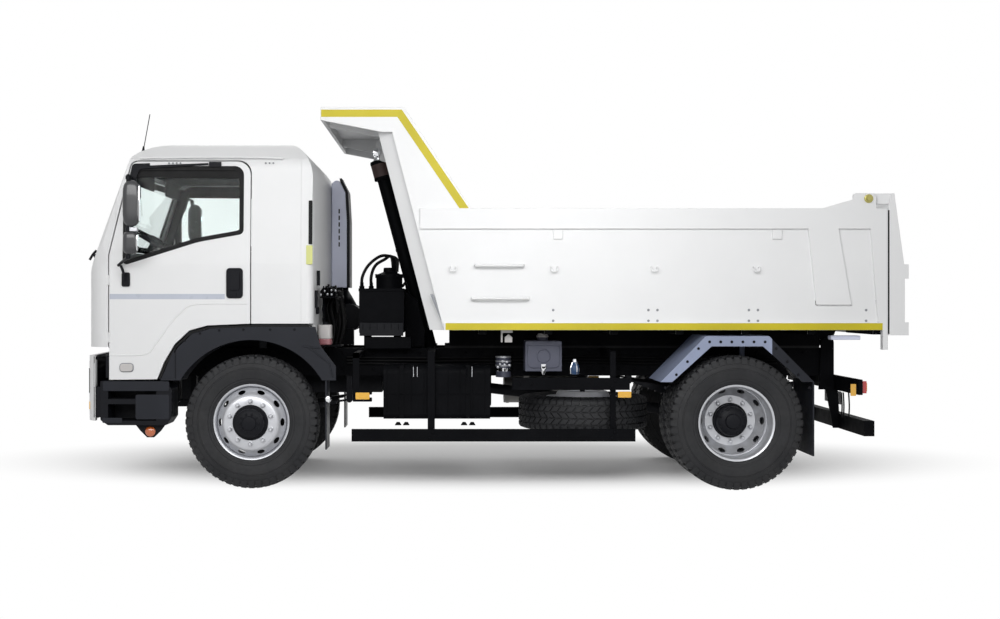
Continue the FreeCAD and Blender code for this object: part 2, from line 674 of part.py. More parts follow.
def bumper():
    """Shell bumper with lamp pockets and two brackets to the rails' ends."""
    wall = BUMPER_WALL
    rear = -BUMPER_REAR
    outer = prism_z(swept_plan(FRONT_OVERHANG, CAB_HALF, BUMPER_SWEEP, 0), BUMPER_Z0, BUMPER_Z1)
    inner = prism_z(swept_plan(FRONT_OVERHANG, CAB_HALF, BUMPER_SWEEP, 0, wall), BUMPER_Z0, BUMPER_Z1)
    cut_rear = box(X_FRONT + rear, X_FRONT + 10, -2000, 2000, 0, 2000)
    shell = outer.cut([inner, cut_rear] + [lamp_block(side, 0) for side in (-1, 1)])
    inside = X_FRONT - FRONT_OVERHANG + wall
    bracket = box(inside - 5, X_FRONT - RAIL_FRONT_END, -RAIL_OUTER_Y, -RAIL_OUTER_Y + RAIL_FLANGE,
                  RAIL_TOP - 200, RAIL_TOP - 80)
    tow_x, tow_y = (inside + 40 + X_FRONT - RAIL_FRONT_END) / 2, -RAIL_OUTER_Y + RAIL_FLANGE + 50
    tow = box(inside + 40, X_FRONT - RAIL_FRONT_END, tow_y - 51, tow_y + 45, RAIL_TOP - 230,
              RAIL_TOP - 200)
    bore = rod(vec(tow_x, tow_y, RAIL_TOP - 240), vec(tow_x, tow_y, RAIL_TOP - 190), MOUNT_BORE)
    side = joined(bracket, tow).cut(bore)
    return joined(shell, side, mirrored(side))


def lamp_block(side, inset):
    """Space of one headlamp in the bumper."""
    x = X_FRONT - FRONT_OVERHANG
    y0, y1 = (-LAMP_OUTER, -LAMP_INNER) if side < 0 else (LAMP_INNER, LAMP_OUTER)
    return box(x - 5, x + BUMPER_WALL + LAMP_DEPTH, y0 + inset, y1 - inset, LAMP_Z0 + inset,
               LAMP_Z1 - inset)


def headlamps():
    """Lamp units that follow the bumper's face."""
    skin = prism_z(swept_plan(FRONT_OVERHANG - 6, CAB_HALF - 6, BUMPER_SWEEP, 0), LAMP_Z0, LAMP_Z1)
    left = skin.common(lamp_block(-1, RUN))
    return both_sides(left)


def entry_steps():
    """Two-tread step boxes with an arm to each rail."""
    x0, x1 = X_FRONT - STEP_FRONT, X_FRONT - STEP_REAR
    y0, y1 = -CAB_HALF, -CAB_HALF + STEP_DEPTH
    body = prism_y([(x0, STEP_Z1), (x0, STEP_Z0 + 40, 20), (x0 + 60, STEP_Z0, 20), (x1 - 40, STEP_Z0, 20),
                    (x1, STEP_Z0 + 60, 20), (x1, STEP_Z1 - 60, 20), (x1 - 60, STEP_Z1)], y0, y1)
    for z0, z1, x_in in ((STEP_Z0 + 35, STEP_Z0 + 165, 60), (STEP_Z0 + 205, STEP_Z1 - 30, 60)):
        body = body.cut(box(x0 + x_in, x1 - x_in - 60, y0 - 1, y1 - 30, z0, z1))
    x = X_FRONT - 900
    arm = joined(box(x - 30, x + 30, -RAIL_OUTER_Y - PLATE, -RAIL_OUTER_Y, 765, RAIL_TOP - 130),
                 box(x - 30, x + 30, y1, -RAIL_OUTER_Y, 765, 825))
    return both_sides(joined(body, arm))


ARCH_EDGE = (  # the flare's outer edge: x from the front axle, z
    (-728, 853), (-673, 989), (-589, 1130), (-476, 1235), (-336, 1275), (0, 1289), (487, 1289),
)


def arch_edge(shift=0):
    """Corners of the flare's outer edge, moved outwards by shift."""
    return [(X_FRONT + x - shift, z + shift) for x, z in ARCH_EDGE]


def front_mudguard():
    """Left flare, arch band over the tyre, rear flap and the arm to the rail."""
    y0, y1 = -CAB_HALF, -CAB_HALF + 20
    wheel_z = TYRE_RADIUS
    edge = arch_edge(-FLARE_GAP)
    edge[0] = (edge[0][0], STEP_Z1 + 5)
    edge += [(X_FRONT + 540, 1130), (X_FRONT + 665, 960), (X_FRONT + 665, 853)]
    flare = prism_y(edge, y0, y1).cut(rod_y(X_FRONT, wheel_z, y0 - 1, y1 + 1, ARCH_RADIUS))
    band = rod_y(X_FRONT, wheel_z, y0, y0 + ARCH_DEPTH, ARCH_RADIUS + ARCH_THICK).cut(
        rod_y(X_FRONT, wheel_z, y0, y0 + ARCH_DEPTH, ARCH_RADIUS))
    band = band.cut(box(X_FRONT - 800, X_FRONT + 800, y0, y0 + ARCH_DEPTH, wheel_z - 800, 853))
    flap = box(X_FRONT + 580, X_FRONT + 592, y0 + 10, y0 + ARCH_DEPTH, FLAP_Z0, 870)
    top = wheel_z + ARCH_RADIUS + ARCH_THICK
    arm = joined(box(X_FRONT - 30, X_FRONT + 30, y0 + ARCH_DEPTH - 60, -RAIL_OUTER_Y + 30, top - 4,
                     top + 12),
                 box(X_FRONT - 30, X_FRONT + 30, -RAIL_OUTER_Y, -RAIL_OUTER_Y + 30, RAIL_TOP, top + 12))
    return joined(flare, band, flap, arm)


def rear_mudguard():
    """Left faceted cover over the twin tyres, with its side lip, flap and two arms."""
    top, half, low, reach = REAR_GUARD_TOP, 246, 846, 598
    y0, y1 = -BED_HALF + 20, -REAR_DISC_Y + DISC_OFFSET + TYRE_HALF_WIDTH

    def arch(drop, spread):
        return [(X_REAR - reach - spread, low), (X_REAR - half - spread / 2, top - drop),
                (X_REAR + half + spread / 2, top - drop), (X_REAR + reach + spread, low)]

    shell = prism_y(arch(0, 0), y0, y1).cut(prism_y(arch(8, -9), y0 - 1, y1 + 1))
    lip = prism_y(arch(0, 0), y0, y0 + 8).cut(prism_y(arch(80, -92), y0 - 1, y0 + 9))
    flap = box(X_REAR + reach - 12, X_REAR + reach, y0, y1, FLAP_Z0 - 40, low)
    pieces = [shell, lip, flap]
    for x in (X_REAR - 200, X_REAR + 200):
        pieces.append(box(x - 20, x + 20, -RAIL_OUTER_Y - PLATE, -RAIL_OUTER_Y, RAIL_TOP - 90, top - 8))
        pieces.append(box(x - 20, x + 20, y0 + 8, -RAIL_OUTER_Y, top - 38, top - 8))
    return joined(*pieces)


def mudguards():
    front, rear = front_mudguard(), rear_mudguard()
    return Part.makeCompound([front, rear, mirrored(front), mirrored(rear)])


# ---- cab: panels cut from one shell ----

def cab_body(inset):
    """Cab's outer form, or its inner one when inset by the wall."""
    base, top = CAB_LOW_Z + inset, CAB_TOP - inset
    front, rear = X_FRONT - CAB_FRONT + inset, X_FRONT + CAB_REAR - inset
    plan = prism_z(swept_plan(CAB_FRONT, CAB_HALF, CAB_SWEEP, CAB_REAR, inset), base, top)
    screen = swept_plan(SCREEN_BASE_X, CAB_HALF, SCREEN_SWEEP, CAB_REAR + 1500, inset, SCREEN_CORNER)
    drop = SCREEN_BASE_Z - CAB_LOW_Z
    screen = [(x - drop * SCREEN_SLOPE, y, *r) for x, y, *r in screen]
    screen = prism_z(screen, CAB_LOW_Z, CAB_TOP, SCREEN_SLOPE)
    side = prism_y([
        (front, base), (front, top - 250), (X_FRONT - 962 + inset, top - 150, 60),
        (X_FRONT - 905 + inset, top - 92, 100), (X_FRONT - 800 + inset, top - 42, 400),
        (X_FRONT - 500, top, 2000), (rear - BACK_LEAN, top, ROOF_REAR_RADIUS - inset), (rear, WAIST_Z + 34),
        (rear, base)],
        -CAB_HALF, CAB_HALF)
    half = CAB_HALF - inset
    across = prism_x([
        (-half, base), (-half, WAIST_Z), (-half + TUMBLE, CAB_GUTTER_Z - inset, 120),
        (-half + 330, top - 25, 400), (0, top, 8000), (half - 330, top - 25, 400),
        (half - TUMBLE, CAB_GUTTER_Z - inset, 120), (half, WAIST_Z), (half, base)],
        X_FRONT - CAB_FRONT, X_FRONT + CAB_REAR)
    return plan.common([screen]).common([side]).common([across])


def door_outline(grow=0):
    """Door's outline in x and z; its lower rear edge follows the arch with the panel gap."""
    x0, x1 = X_FRONT - DOOR_FRONT - grow, X_FRONT - DOOR_REAR + grow
    top = DOOR_TOP_Z + grow
    lower = arch_edge(GAP - grow)
    return [(x0, DOOR_FOOT_Z - grow), (x0, WAIST_Z + 71), (X_FRONT - DOOR_TOP_FRONT - grow, top, 60),
            (x1, top, 110), (x1, lower[5][1])] + list(reversed(lower[:6]))[1:]


def door_window(grow=0):
    """Side window: upright front edge and a sill that falls towards the front."""
    x0, x1 = X_FRONT - 995 - grow, X_FRONT - 72 + grow
    top = WINDOW_TOP_Z + grow
    return [(x0, WAIST_Z + 2 - grow, 20), (x0, WINDOW_BEND_Z), (X_FRONT - DOOR_TOP_FRONT + 40 - grow, top, 60),
            (x1, top, 60), (x1, WAIST_Z + 246 - grow, 30), (X_FRONT - 420, WAIST_Z + 184 - grow, 900)]


def side_slab(corners, side):
    """The outline's prism through the left (-1) or right (1) side of the cab."""
    y0, y1 = (-CAB_HALF - 50, -CAB_HALF + 260) if side < 0 else (CAB_HALF - 260, CAB_HALF + 50)
    return prism_y(corners, y0, y1)


def windscreen_space(grow=0):
    half = SCREEN_HALF + grow
    return prism_x([(-half, SCREEN_BASE_Z + 25 - grow, 90), (-half + 45, SCREEN_TOP_Z + grow, 90),
                    (half - 45, SCREEN_TOP_Z + grow, 90), (half, SCREEN_BASE_Z + 25 - grow, 90)],
                   X_FRONT - CAB_FRONT, X_FRONT - 900)


def cab_shell():
    """Hollow cab without its floor, with the doorways and windows open."""
    shell = cab_body(0).cut(cab_body(CAB_WALL))
    front, rear, far = X_FRONT - STEPWELL_FRONT, X_FRONT + CAB_REAR + 10, 2000
    lower = [  # below the nose, below the floor, and outboard of the rockers
        box(X_FRONT - CAB_FRONT - 10, front, -far, far, 0, CAB_NOSE_Z),
        box(front - 1, rear, -far, far, 0, CAB_FLOOR_Z - CAB_FLOOR_THICK),
        box(front - 1, rear, -far, -ROCKER_INNER, 0, CAB_SIDE_Z),
        box(front - 1, rear, ROCKER_INNER, far, 0, CAB_SIDE_Z),
    ]
    doors = [side_slab(door_outline(GAP), side) for side in (-1, 1)]
    return shell.cut(lower + doors + [windscreen_space()])


def cab_panels():
    """Roof, front, back and side panels, parted by planes where the real ones meet."""
    shell = cab_shell()
    far = 4000
    front_x, back_x = X_FRONT - DOOR_FRONT + 48, X_FRONT + CAB_REAR - CAB_WALL - 54
    roof = shell.common(box(-far, far, -far, far, ROOF_JOINT_Z, far))
    rest = shell.common(box(-far, far, -far, far, 0, ROOF_JOINT_Z))
    front = rest.common(box(-far, front_x, -far, far, 0, far))
    back = rest.common(box(back_x, far, -far, far, 0, far))
    sides = rest.common(box(front_x, back_x, -far, far, 0, far))
    front = joined(front, door_hinges(-1), door_hinges(1))
    return {"cab_roof": roof, "cab_front": front, "cab_back": back, "cab_sides": sides}


def cab_floor():
    """Floor with the engine tunnel, the doorway step wells and the hinge lugs."""
    low = CAB_FLOOR_Z - CAB_FLOOR_THICK
    front, rear = X_FRONT - CAB_FRONT + CAB_WALL + 60, X_FRONT + CAB_REAR - CAB_WALL
    half = CAB_HALF - CAB_WALL
    inside = cab_body(CAB_WALL)
    rocker = box(X_FRONT - DOOR_REAR + GAP, rear, -ROCKER_OUTER, -ROCKER_INNER, low, CAB_SIDE_Z)
    slab = box(front - 200, rear, 6 - half, half - 6, low, CAB_FLOOR_Z)
    tunnel = box(X_FRONT - 700, rear, -TUNNEL_HALF, TUNNEL_HALF, low, TUNNEL_TOP)
    hollow = box(X_FRONT - 700 + CAB_FLOOR_THICK, rear + 1, -TUNNEL_HALF + CAB_FLOOR_THICK,
                 TUNNEL_HALF - CAB_FLOOR_THICK, low - 1, TUNNEL_TOP - CAB_FLOOR_THICK)
    wells = []
    for side in (-1, 1):
        y0, y1 = (6 - half, -WELL_INNER) if side < 0 else (WELL_INNER, half - 6)
        well = box(X_FRONT - STEPWELL_FRONT, X_FRONT - STEPWELL_REAR, y0, y1, DOOR_FOOT_Z + 4, low)
        y2, y3 = (y0 - 1, y1 - 20) if side < 0 else (y0 + 20, y1 + 1)
        wells.append((well, box(X_FRONT - STEPWELL_FRONT + 20, X_FRONT - STEPWELL_REAR - 20, y2, y3,
                                DOOR_FOOT_Z + 30, CAB_FLOOR_Z + 1)))
    floor = slab.common(inside)
    floor = joined(floor, tunnel, rocker, mirrored(rocker), *[well for well, _ in wells])
    floor = floor.cut([hollow] + [space for _, space in wells])
    lugs = [hinge_lug(side) for side in (-1, 1)]
    return joined(floor, *lugs)


def hinge_lug(side):
    """Lug under the floor's front edge, round the cab's pivot pin."""
    x, z = X_FRONT - CAB_PIVOT_X, CAB_PIVOT_Z
    y = RAIL_OUTER_Y + PLATE + 5
    y0, y1 = (-y - PLATE, -y) if side < 0 else (y, y + PLATE)
    low = CAB_FLOOR_Z - CAB_FLOOR_THICK
    lug = joined(rod_y(x, z, y0, y1, LUG_RADIUS),
                 prism_y([(x - LUG_RADIUS + 2, z), (x + 14, z - 10), (x + 160, low),
                          (x - LUG_RADIUS + 2, low)], y0, y1))
    return lug.cut(rod_y(x, z, y0, y1, PIVOT_PIN + RUN))


def cab_mounts():
    """Front pivot brackets on the rails and the rear cross tube that carries the cab's floor."""
    x, z = X_FRONT - CAB_PIVOT_X, CAB_PIVOT_Z
    y = RAIL_OUTER_Y
    start = X_FRONT - RAIL_FRONT_END
    plate = joined(rod_y(x, z, -y - PLATE, -y, LUG_RADIUS),
                   prism_y([(x - 6, z + LUG_RADIUS - 2), (x - 10, z - LUG_RADIUS + 4),
                            (start + 20, RAIL_TOP - 130), (start + 110, RAIL_TOP - 130),
                            (start + 110, RAIL_TOP - 10), (start - 20, z + LUG_RADIUS - 2)],
                           -y - PLATE, -y))
    front = joined(plate, rod_y(x, z, -y - 2 * PLATE - 9, -y, PIVOT_PIN))
    rear_x = X_FRONT + CAB_REAR - 90
    low = CAB_FLOOR_Z - CAB_FLOOR_THICK
    rear = joined(box(rear_x - 30, rear_x + 30, -y - 120, y + 120, RAIL_TOP, RAIL_TOP + 50),
                  *[box(rear_x - 30, rear_x + 30, s * (y + 60) - 40, s * (y + 60) + 40, RAIL_TOP,
                        low - RUN) for s in (-1, 1)])
    return Part.makeCompound([front, mirrored(front), rear])


def cab_glass():
    """Windscreen, set in the middle of the wall."""
    mid = (CAB_WALL - GLASS_THICK) / 2
    pane = cab_body(mid).cut(cab_body(mid + GLASS_THICK))
    return pane.common(windscreen_space(-RUN))


def doors():
    """Doors as thick as the cab's wall, with the window open and glass set in it."""
    shell = cab_body(0).cut(cab_body(CAB_WALL))
    door = shell.common(side_slab(door_outline(), -1)).cut(side_slab(door_window(), -1))
    x = X_FRONT - DOOR_FRONT
    door = door.cut([rod(vec(x, -CAB_HALF, z - 1), vec(x, -CAB_HALF, z + HINGE_LENGTH + 1),
                         HINGE_PIN + RUN) for z in HINGE_Z])
    handle = box(X_FRONT - 192, X_FRONT - 65, -CAB_HALF - 8, -CAB_HALF + 20, 1500, 1730)
    mid = (CAB_WALL - GLASS_THICK) / 2
    pane = cab_body(mid).cut(cab_body(mid + GLASS_THICK)).common(side_slab(door_window(-RUN), -1))
    return {**side_pair("door", joined(door, handle)), **side_pair("door_glass", pane)}


def mirror():
    """Left mirror pair on its two arms, seated on the door's front edge."""
    y = -CAB_HALF - MIRROR_OUT
    x0 = X_FRONT - 956
    pieces = [
        prism_z([(x0, y - 30, 20), (x0 + 136, y - 30, 60), (x0 + 136, y + 60, 20), (x0, y + 60, 40)],
                MIRROR_Z0, MIRROR_Z1),
        prism_z([(x0, y - 30, 20), (x0 + 120, y - 30, 50), (x0 + 120, y + 50, 20), (x0, y + 50, 30)],
                MIRROR_Z0 - 213, MIRROR_Z0 - 30),
        rod(vec(x0 + 40, y + 10, MIRROR_Z0 - 244), vec(x0 + 40, y + 10, MIRROR_Z1 + 44), MIRROR_TUBE),
    ]
    for arm_z, foot_x, foot_z in ((MIRROR_Z0 - 234, 1050, WAIST_Z - 21), (MIRROR_Z1 + 34, 949, MIRROR_Z1 + 34)):
        foot = vec(X_FRONT - foot_x, -CAB_HALF + 80, foot_z)
        pieces.append(rod(vec(x0 + 40, y + 10, arm_z), foot, MIRROR_TUBE - 3))
    skin = prism_x([(-CAB_HALF, 1000), (-CAB_HALF, WAIST_Z), (-CAB_HALF + TUMBLE, CAB_GUTTER_Z),
                    (0, CAB_GUTTER_Z), (0, 1000)], X_FRONT - 2000, X_FRONT)
    return joined(*pieces).cut(skin)


def door_hinges(side):
    """Pins at the door's front edge, on tabs of the cab's front pillar."""
    x, y = X_FRONT - DOOR_FRONT, side * CAB_HALF
    y0, y1 = sorted((y, y - side * 12))
    pieces = []
    for z in HINGE_Z:
        pieces.append(rod(vec(x, y, z), vec(x, y, z + HINGE_LENGTH), HINGE_PIN))
        pieces.append(box(x - GAP - 15, x, y0, y1, z, z + HINGE_LENGTH))
    return joined(*pieces)


def cab_interior():
    """Seats, dashboard and steering wheel, each standing on the floor or its neighbour."""
    floor = CAB_FLOOR_Z
    seats = []
    for y in (-SEAT_Y, SEAT_Y):
        seats.append(joined(
            box(X_FRONT - 420, X_FRONT + 60, y - 230, y + 230, floor, floor + 300),
            prism_y([(X_FRONT - 460, floor + 300, 40), (X_FRONT - 460, floor + 430, 60),
                     (X_FRONT + 40, floor + 420), (X_FRONT + 110, floor + 1080, 40),
                     (X_FRONT + 230, floor + 1060, 40), (X_FRONT + 150, floor + 300, 40)],
                    y - 250, y + 250)))
    x = X_FRONT - CAB_FRONT
    half = CAB_HALF - CAB_WALL - 60
    dash = prism_y([(x + 160, floor), (x + 160, 1700, 60), (x + 200, 1780, 30), (x + 420, 1760, 60),
                    (x + 480, 1620, 60), (x + 330, 1500, 40), (x + 330, floor)], -half, half)
    dash = dash.common(cab_body(CAB_WALL + 2))
    wheel_at = vec(X_FRONT - 850, -SEAT_Y, 1960)
    tilt = vec(0.5, 0, 0.87).normalize()
    foot = wheel_at - tilt * 300
    column = rod(foot, wheel_at, 28)
    spokes = rod(wheel_at - vec(0, STEERING_RADIUS, 0), wheel_at + vec(0, STEERING_RADIUS, 0), 13)
    wheel = joined(Part.makeTorus(STEERING_RADIUS, 16, wheel_at, tilt), spokes, column,
                   rod(wheel_at - tilt * 20, wheel_at + tilt * 20, 60))
    return {"seats": Part.makeCompound(seats), "dashboard": dash, "steering_wheel": wheel.cut(dash)}


def snorkel():
    """Air intake duct up the back of the cab on the right."""
    x = X_FRONT + CAB_REAR
    top = CAB_TOP - 150
    return prism_y([(x, 1597), (x, top - 54), (x + 60, top, 40), (x + 150, top - 134, 60),
                    (x + 166, top - 414), (x + 166, 1597, 30)], SNORKEL_Y, SNORKEL_Y + 300)


# ---- bed ----

def side_corners():
    """Bed side's outline with the canopy's cheek."""
    lean = BED_LEAN
    foot = X_FRONT + BED_FOOT_X + BED_CHAMFER
    gusset_z, tip_z = 2789, 2881
    return [(foot, BED_LOW_Z), (foot - lean * (gusset_z - BED_LOW_Z), gusset_z),
            (X_FRONT + 1028, gusset_z, 60), (X_FRONT + CANOPY_TIP_X, tip_z),
            (X_FRONT + CANOPY_TIP_X, CANOPY_TOP), (X_FRONT + CANOPY_HEEL_X, CANOPY_TOP, 30),
            (X_FRONT + CANOPY_HEEL_X + 520, BED_RAIL_TOP), (X_REAR + BED_REAR, BED_RAIL_TOP),
            (X_REAR + BED_REAR, BED_LOW_Z)]


def bed_side():
    """Left side: panel, top rail, foot rail, rear ribs, post and the tailgate's ear."""
    y0 = -BED_HALF
    y_panel = y0 + BED_PANEL_IN
    y_in = y_panel + BED_WALL
    foot = X_FRONT + BED_FOOT_X + BED_CHAMFER
    rear = X_REAR + BED_REAR
    low, rail = BED_LOW_Z, BED_RAIL_LOW
    pieces = [
        prism_y(side_corners(), y_panel, y_in),
        box(foot - BED_LEAN * (rail - low) + 20, rear, y0, y_panel, rail, BED_RAIL_TOP),
        box(foot, rear, y0, y_panel, low, low + 55),
        prism_y([(X_REAR + 548, rail), (X_REAR + 782, rail), (X_REAR + 881, 1445),
                 (X_REAR + 611, 1445)], y0, y_panel),
        prism_y([(X_REAR + 1027, BED_RAIL_TOP), (X_REAR + 1030, rail), (X_REAR + 1089, low + 55),
                 (X_REAR + 1124, low), (X_REAR + 1124, POST_LOW_Z), (rear, POST_LOW_Z),
                 (rear, BED_RAIL_TOP)], y0, y_in),
        prism_y([(X_REAR + 658, BED_RAIL_TOP), (X_REAR + 895, BED_RAIL_TOP + 70),
                 (X_REAR + 895, BED_RAIL_TOP + 117, 20), (GATE_PIN_X + X_REAR + 60, BED_RAIL_TOP + 117, 40),
                 (GATE_PIN_X + X_REAR + 60, BED_RAIL_TOP)], y0, y0 + EAR_THICK),
    ]
    pin_x = X_REAR + GATE_PIN_X
    side = joined(*pieces)
    return joined(side, rod_y(pin_x, GATE_PIN_Z, y0, y0 + EAR_THICK + 60, GATE_PIN_RADIUS))


def headboard():
    """Leaning front wall with chamfered corners and the hoist's recess, and the canopy on it."""
    x = X_FRONT + BED_FOOT_X
    half = BED_HALF - BED_PANEL_IN - BED_WALL
    chamfer_y = half - BED_CHAMFER + BED_WALL
    w, r, d = BED_WALL, RECESS_HALF, RECESS_DEPTH
    left = [(BED_CHAMFER, -half), (0, -chamfer_y), (0, -r), (d, -r)]
    inner = [(d + w, -r - w), (w, -r - w), (w, -chamfer_y + w / 2), (BED_CHAMFER + w, -half)]
    half_front = left + [(u, -v) for u, v in reversed(left)]
    half_back = [(u, -v) for u, v in reversed(inner)] + inner
    plan = [(x + u, v) for u, v in half_front + half_back]
    top = CANOPY_TOP - CANOPY_PLATE
    wall = prism_z(plan, BED_LOW_Z, top, -BED_LEAN)
    tip, heel = X_FRONT + CANOPY_TIP_X, X_FRONT + CANOPY_HEEL_X
    canopy = box(tip, heel, -half, half, top, CANOPY_TOP)
    lip = box(tip, tip + 25, -half, half, CANOPY_TOP - 100, top)
    ribs = [prism_y([(tip + 25, top), (tip + 25, CANOPY_TOP - 95), (X_FRONT + 1035, 2800),
                     (X_FRONT + 1035, top)], y - 8, y + 8) for y in (-700, 700)]
    return joined(wall, canopy, lip, *ribs, *[hoist_cheek(side) for side in (-1, 1)])


def hoist_cheek(side):
    """Plate beside the rod's eye; its notch is open to the front, where the eye swings out."""
    x, z = X_FRONT + HOIST_HEAD_X, HOIST_HEAD_Z
    y0 = side * CHEEK_Y - 10
    wall_x = X_FRONT + BED_FOOT_X + RECESS_DEPTH - BED_LEAN * (z - BED_LOW_Z)
    plate = prism_y([(x - 10, z + 75, 30), (x - 10, z + HOIST_PIN + 3), (x + 4, z + HOIST_PIN + 3),
                     (x + HOIST_PIN + 3, z + 10, 10), (x + HOIST_PIN + 3, z - 70),
                     (wall_x + 30, z - 170), (wall_x - 30, z + 130), (x + 40, z + 130, 30)],
                    y0, y0 + 20)
    return plate


def bed_floor():
    """Floor plate with two sills, cross bearers and the pivot's eyes."""
    x0, x1 = X_FRONT + BED_FOOT_X + BED_CHAMFER + BED_WALL, X_REAR + BED_REAR
    half = BED_HALF - BED_PANEL_IN - BED_WALL
    floor_top = BED_LOW_Z + BED_FLOOR_THICK
    sill_z = RAIL_TOP + STRIP_HEIGHT + RUN
    sill_end = X_REAR + BED_PIVOT_X - SILL_SHORT
    y = RAIL_OUTER_Y
    recess = X_FRONT + BED_FOOT_X + RECESS_DEPTH + BED_WALL
    pieces = [box(x0, x1, -half, half, BED_LOW_Z, floor_top),
              box(recess + 30, recess + 90, -y, y, sill_z + 40, BED_LOW_Z)]
    for side in (-1, 1):
        inner, outer = sorted((side * (y - SILL_WIDTH), side * y))
        pieces.append(box(x0, sill_end, inner, outer, sill_z, BED_LOW_Z))
        pieces.append(pivot_eye(inner + 10, outer - 10))
    count = 7
    for i in range(count):
        x = x0 + 260 + i * (x1 - x0 - 320) / (count - 1)
        for side in (-1, 1):
            inner, outer = sorted((side * y, side * (half - 20)))
            pieces.append(box(x - 30, x + 30, inner, outer, BED_LOW_Z - BEARER_DROP, BED_LOW_Z))
    floor = joined(*pieces)
    eyes = rod_y(X_REAR + BED_PIVOT_X, BED_PIVOT_Z, -y - 1, y + 1, BED_PIN_RADIUS + RUN)
    notch = RECESS_HALF + BED_WALL
    return floor.cut([eyes, box(x0 - 1, recess, -notch, notch, BED_LOW_Z, floor_top)])


def pivot_eye(y0, y1):
    """Lug from the floor down to the pivot pin."""
    x, z, r = X_REAR + BED_PIVOT_X, BED_PIVOT_Z, BED_EYE_RADIUS
    return joined(rod_y(x, z, y0, y1, r),
                  prism_y([(x - r, z), (x + r, z), (x + r + 50, BED_LOW_Z), (x - r - 70, BED_LOW_Z)],
                          y0, y1))


def tailgate():
    """Top-hung gate bent like the bed's rear edge, with ribs and an arm to each pin."""
    inner = X_REAR + BED_REAR + GATE_GAP
    outer = X_REAR + REAR_OVERHANG
    shell = outer - GATE_RIB
    low, high = BED_LOW_Z - 40, GATE_PIN_Z + 42
    head_x = X_REAR + GATE_HEAD_X
    half = BED_HALF - GATE_CLEAR
    panel = prism_y([(inner, low), (inner, BED_RAIL_TOP + 6), (head_x - 24, high, 20), (head_x, high),
                     (shell, GATE_BEND_Z), (shell, low)], -half, half)
    plate = inner + GATE_THICK
    pocket = prism_y([(plate, low + 100), (plate, BED_RAIL_TOP - 94), (outer, BED_RAIL_TOP - 94),
                      (outer, low + 100)], -half + 90, half - 90)
    pieces = [panel.cut(pocket)]
    for y in (-620, 0, 620):
        pieces.append(box(plate - 1, shell, y - 50, y + 50, low + 80, GATE_BEND_Z))
    for z0, z1 in ((GATE_BEND_Z - 74, GATE_BEND_Z + 36), (low, low + 100)):
        pieces.append(box(plate - 1, outer, -half, half, z0, z1))
    gate = joined(*pieces)
    y_arm = BED_HALF - EAR_THICK - 6
    pin_x = X_REAR + GATE_PIN_X
    for side in (-1, 1):
        y0, y1 = sorted((side * y_arm, side * (y_arm - GATE_ARM)))
        arm = joined(rod_y(pin_x, GATE_PIN_Z, y0, y1, 42),
                     prism_y([(pin_x, GATE_PIN_Z - 42), (pin_x, high), (head_x, high),
                              (head_x, GATE_PIN_Z - 39), (inner + 20, GATE_PIN_Z - 39)], y0, y1))
        pin_hole = rod_y(pin_x, GATE_PIN_Z, y0 - 1, y1 + 1, GATE_PIN_RADIUS + RUN)
        gate = joined(gate, arm).cut(pin_hole)
    return gate


# ---- hoist: built along its own line from foot to head ----

def hoist():
    """Barrel with its trunnion and three stages drawn in; the last carries the eye and pin."""
    foot = vec(X_FRONT + HOIST_FOOT_X, 0, HOIST_FOOT_Z)
    head = vec(X_FRONT + HOIST_HEAD_X, 0, HOIST_HEAD_Z)
    length = foot.distanceToPoint(head)
    line = (head - foot).normalize()

    def at(distance):
        return foot + line * distance

    stages = STAGE_RADII
    collar_1 = length - COLLAR_BELOW_EYE
    collar_0 = collar_1 - COLLAR_LENGTH
    bore = stages[0] + RUN
    barrel = joined(rod(at(20), at(collar_1), HOIST_RADIUS),
                    rod(at(collar_0), at(collar_1), COLLAR_RADIUS))
    barrel = barrel.cut(rod(at(80), at(collar_1 + 1), bore))
    barrel = joined(barrel, rod_y(foot.x, foot.z, -HOIST_RADIUS - 4, HOIST_RADIUS + 4, FOOT_RADIUS),
                    rod_y(foot.x, foot.z, -HOIST_RADIUS - 34, HOIST_RADIUS + 34, HOIST_PIN))
    nodes = {"hoist_barrel": barrel}
    for i, radius in enumerate(stages):
        low, high = 100 + i * 20, collar_1 + 8 + i * 8
        stage = rod(at(low), at(high), radius)
        if i + 1 < len(stages):
            stage = stage.cut(rod(at(low + 15), at(high + 1), stages[i + 1] + RUN))
        else:
            stage = joined(stage, rod(at(high - 1), at(length - 20), 30),
                           rod_y(head.x, head.z, -EYE_HALF, EYE_HALF, EYE_RADIUS),
                           rod_y(head.x, head.z, -CHEEK_Y - 14, CHEEK_Y + 14, HOIST_PIN))
        nodes["hoist_stage_" + str(i + 1)] = stage
    return nodes


# ---- equipment on the frame ----

def rail_arm(x, half, y, z0, z1, side=-1):
    """Box from a rail's web outwards to y."""
    y0, y1 = sorted((side * RAIL_OUTER_Y, side * y))
    return box(x - half, x + half, y0, y1, z0, z1)


def side_boxes():
    """Battery box on the left and fuel tank on the right, each on two arms."""
    x0, x1 = X_FRONT + 1036, X_FRONT + 1875
    battery = prism_x([(-1105, 548, 40), (-1105, 967, 60), (-650, 967, 40), (-650, 548, 40)], x0, x1)
    tank = prism_x([(650, 520, 90), (650, 1000, 90), (1105, 1000, 90), (1105, 520, 90)], x0 - 60, x1 + 60)
    left = joined(battery, *[rail_arm(x, 25, 660, 880, 940) for x in (x0 + 130, x1 - 130)])
    right = joined(tank, *[rail_arm(x, 25, 660, 880, 940, 1) for x in (x0 + 130, x1 - 130)])
    return Part.makeCompound([left, right])


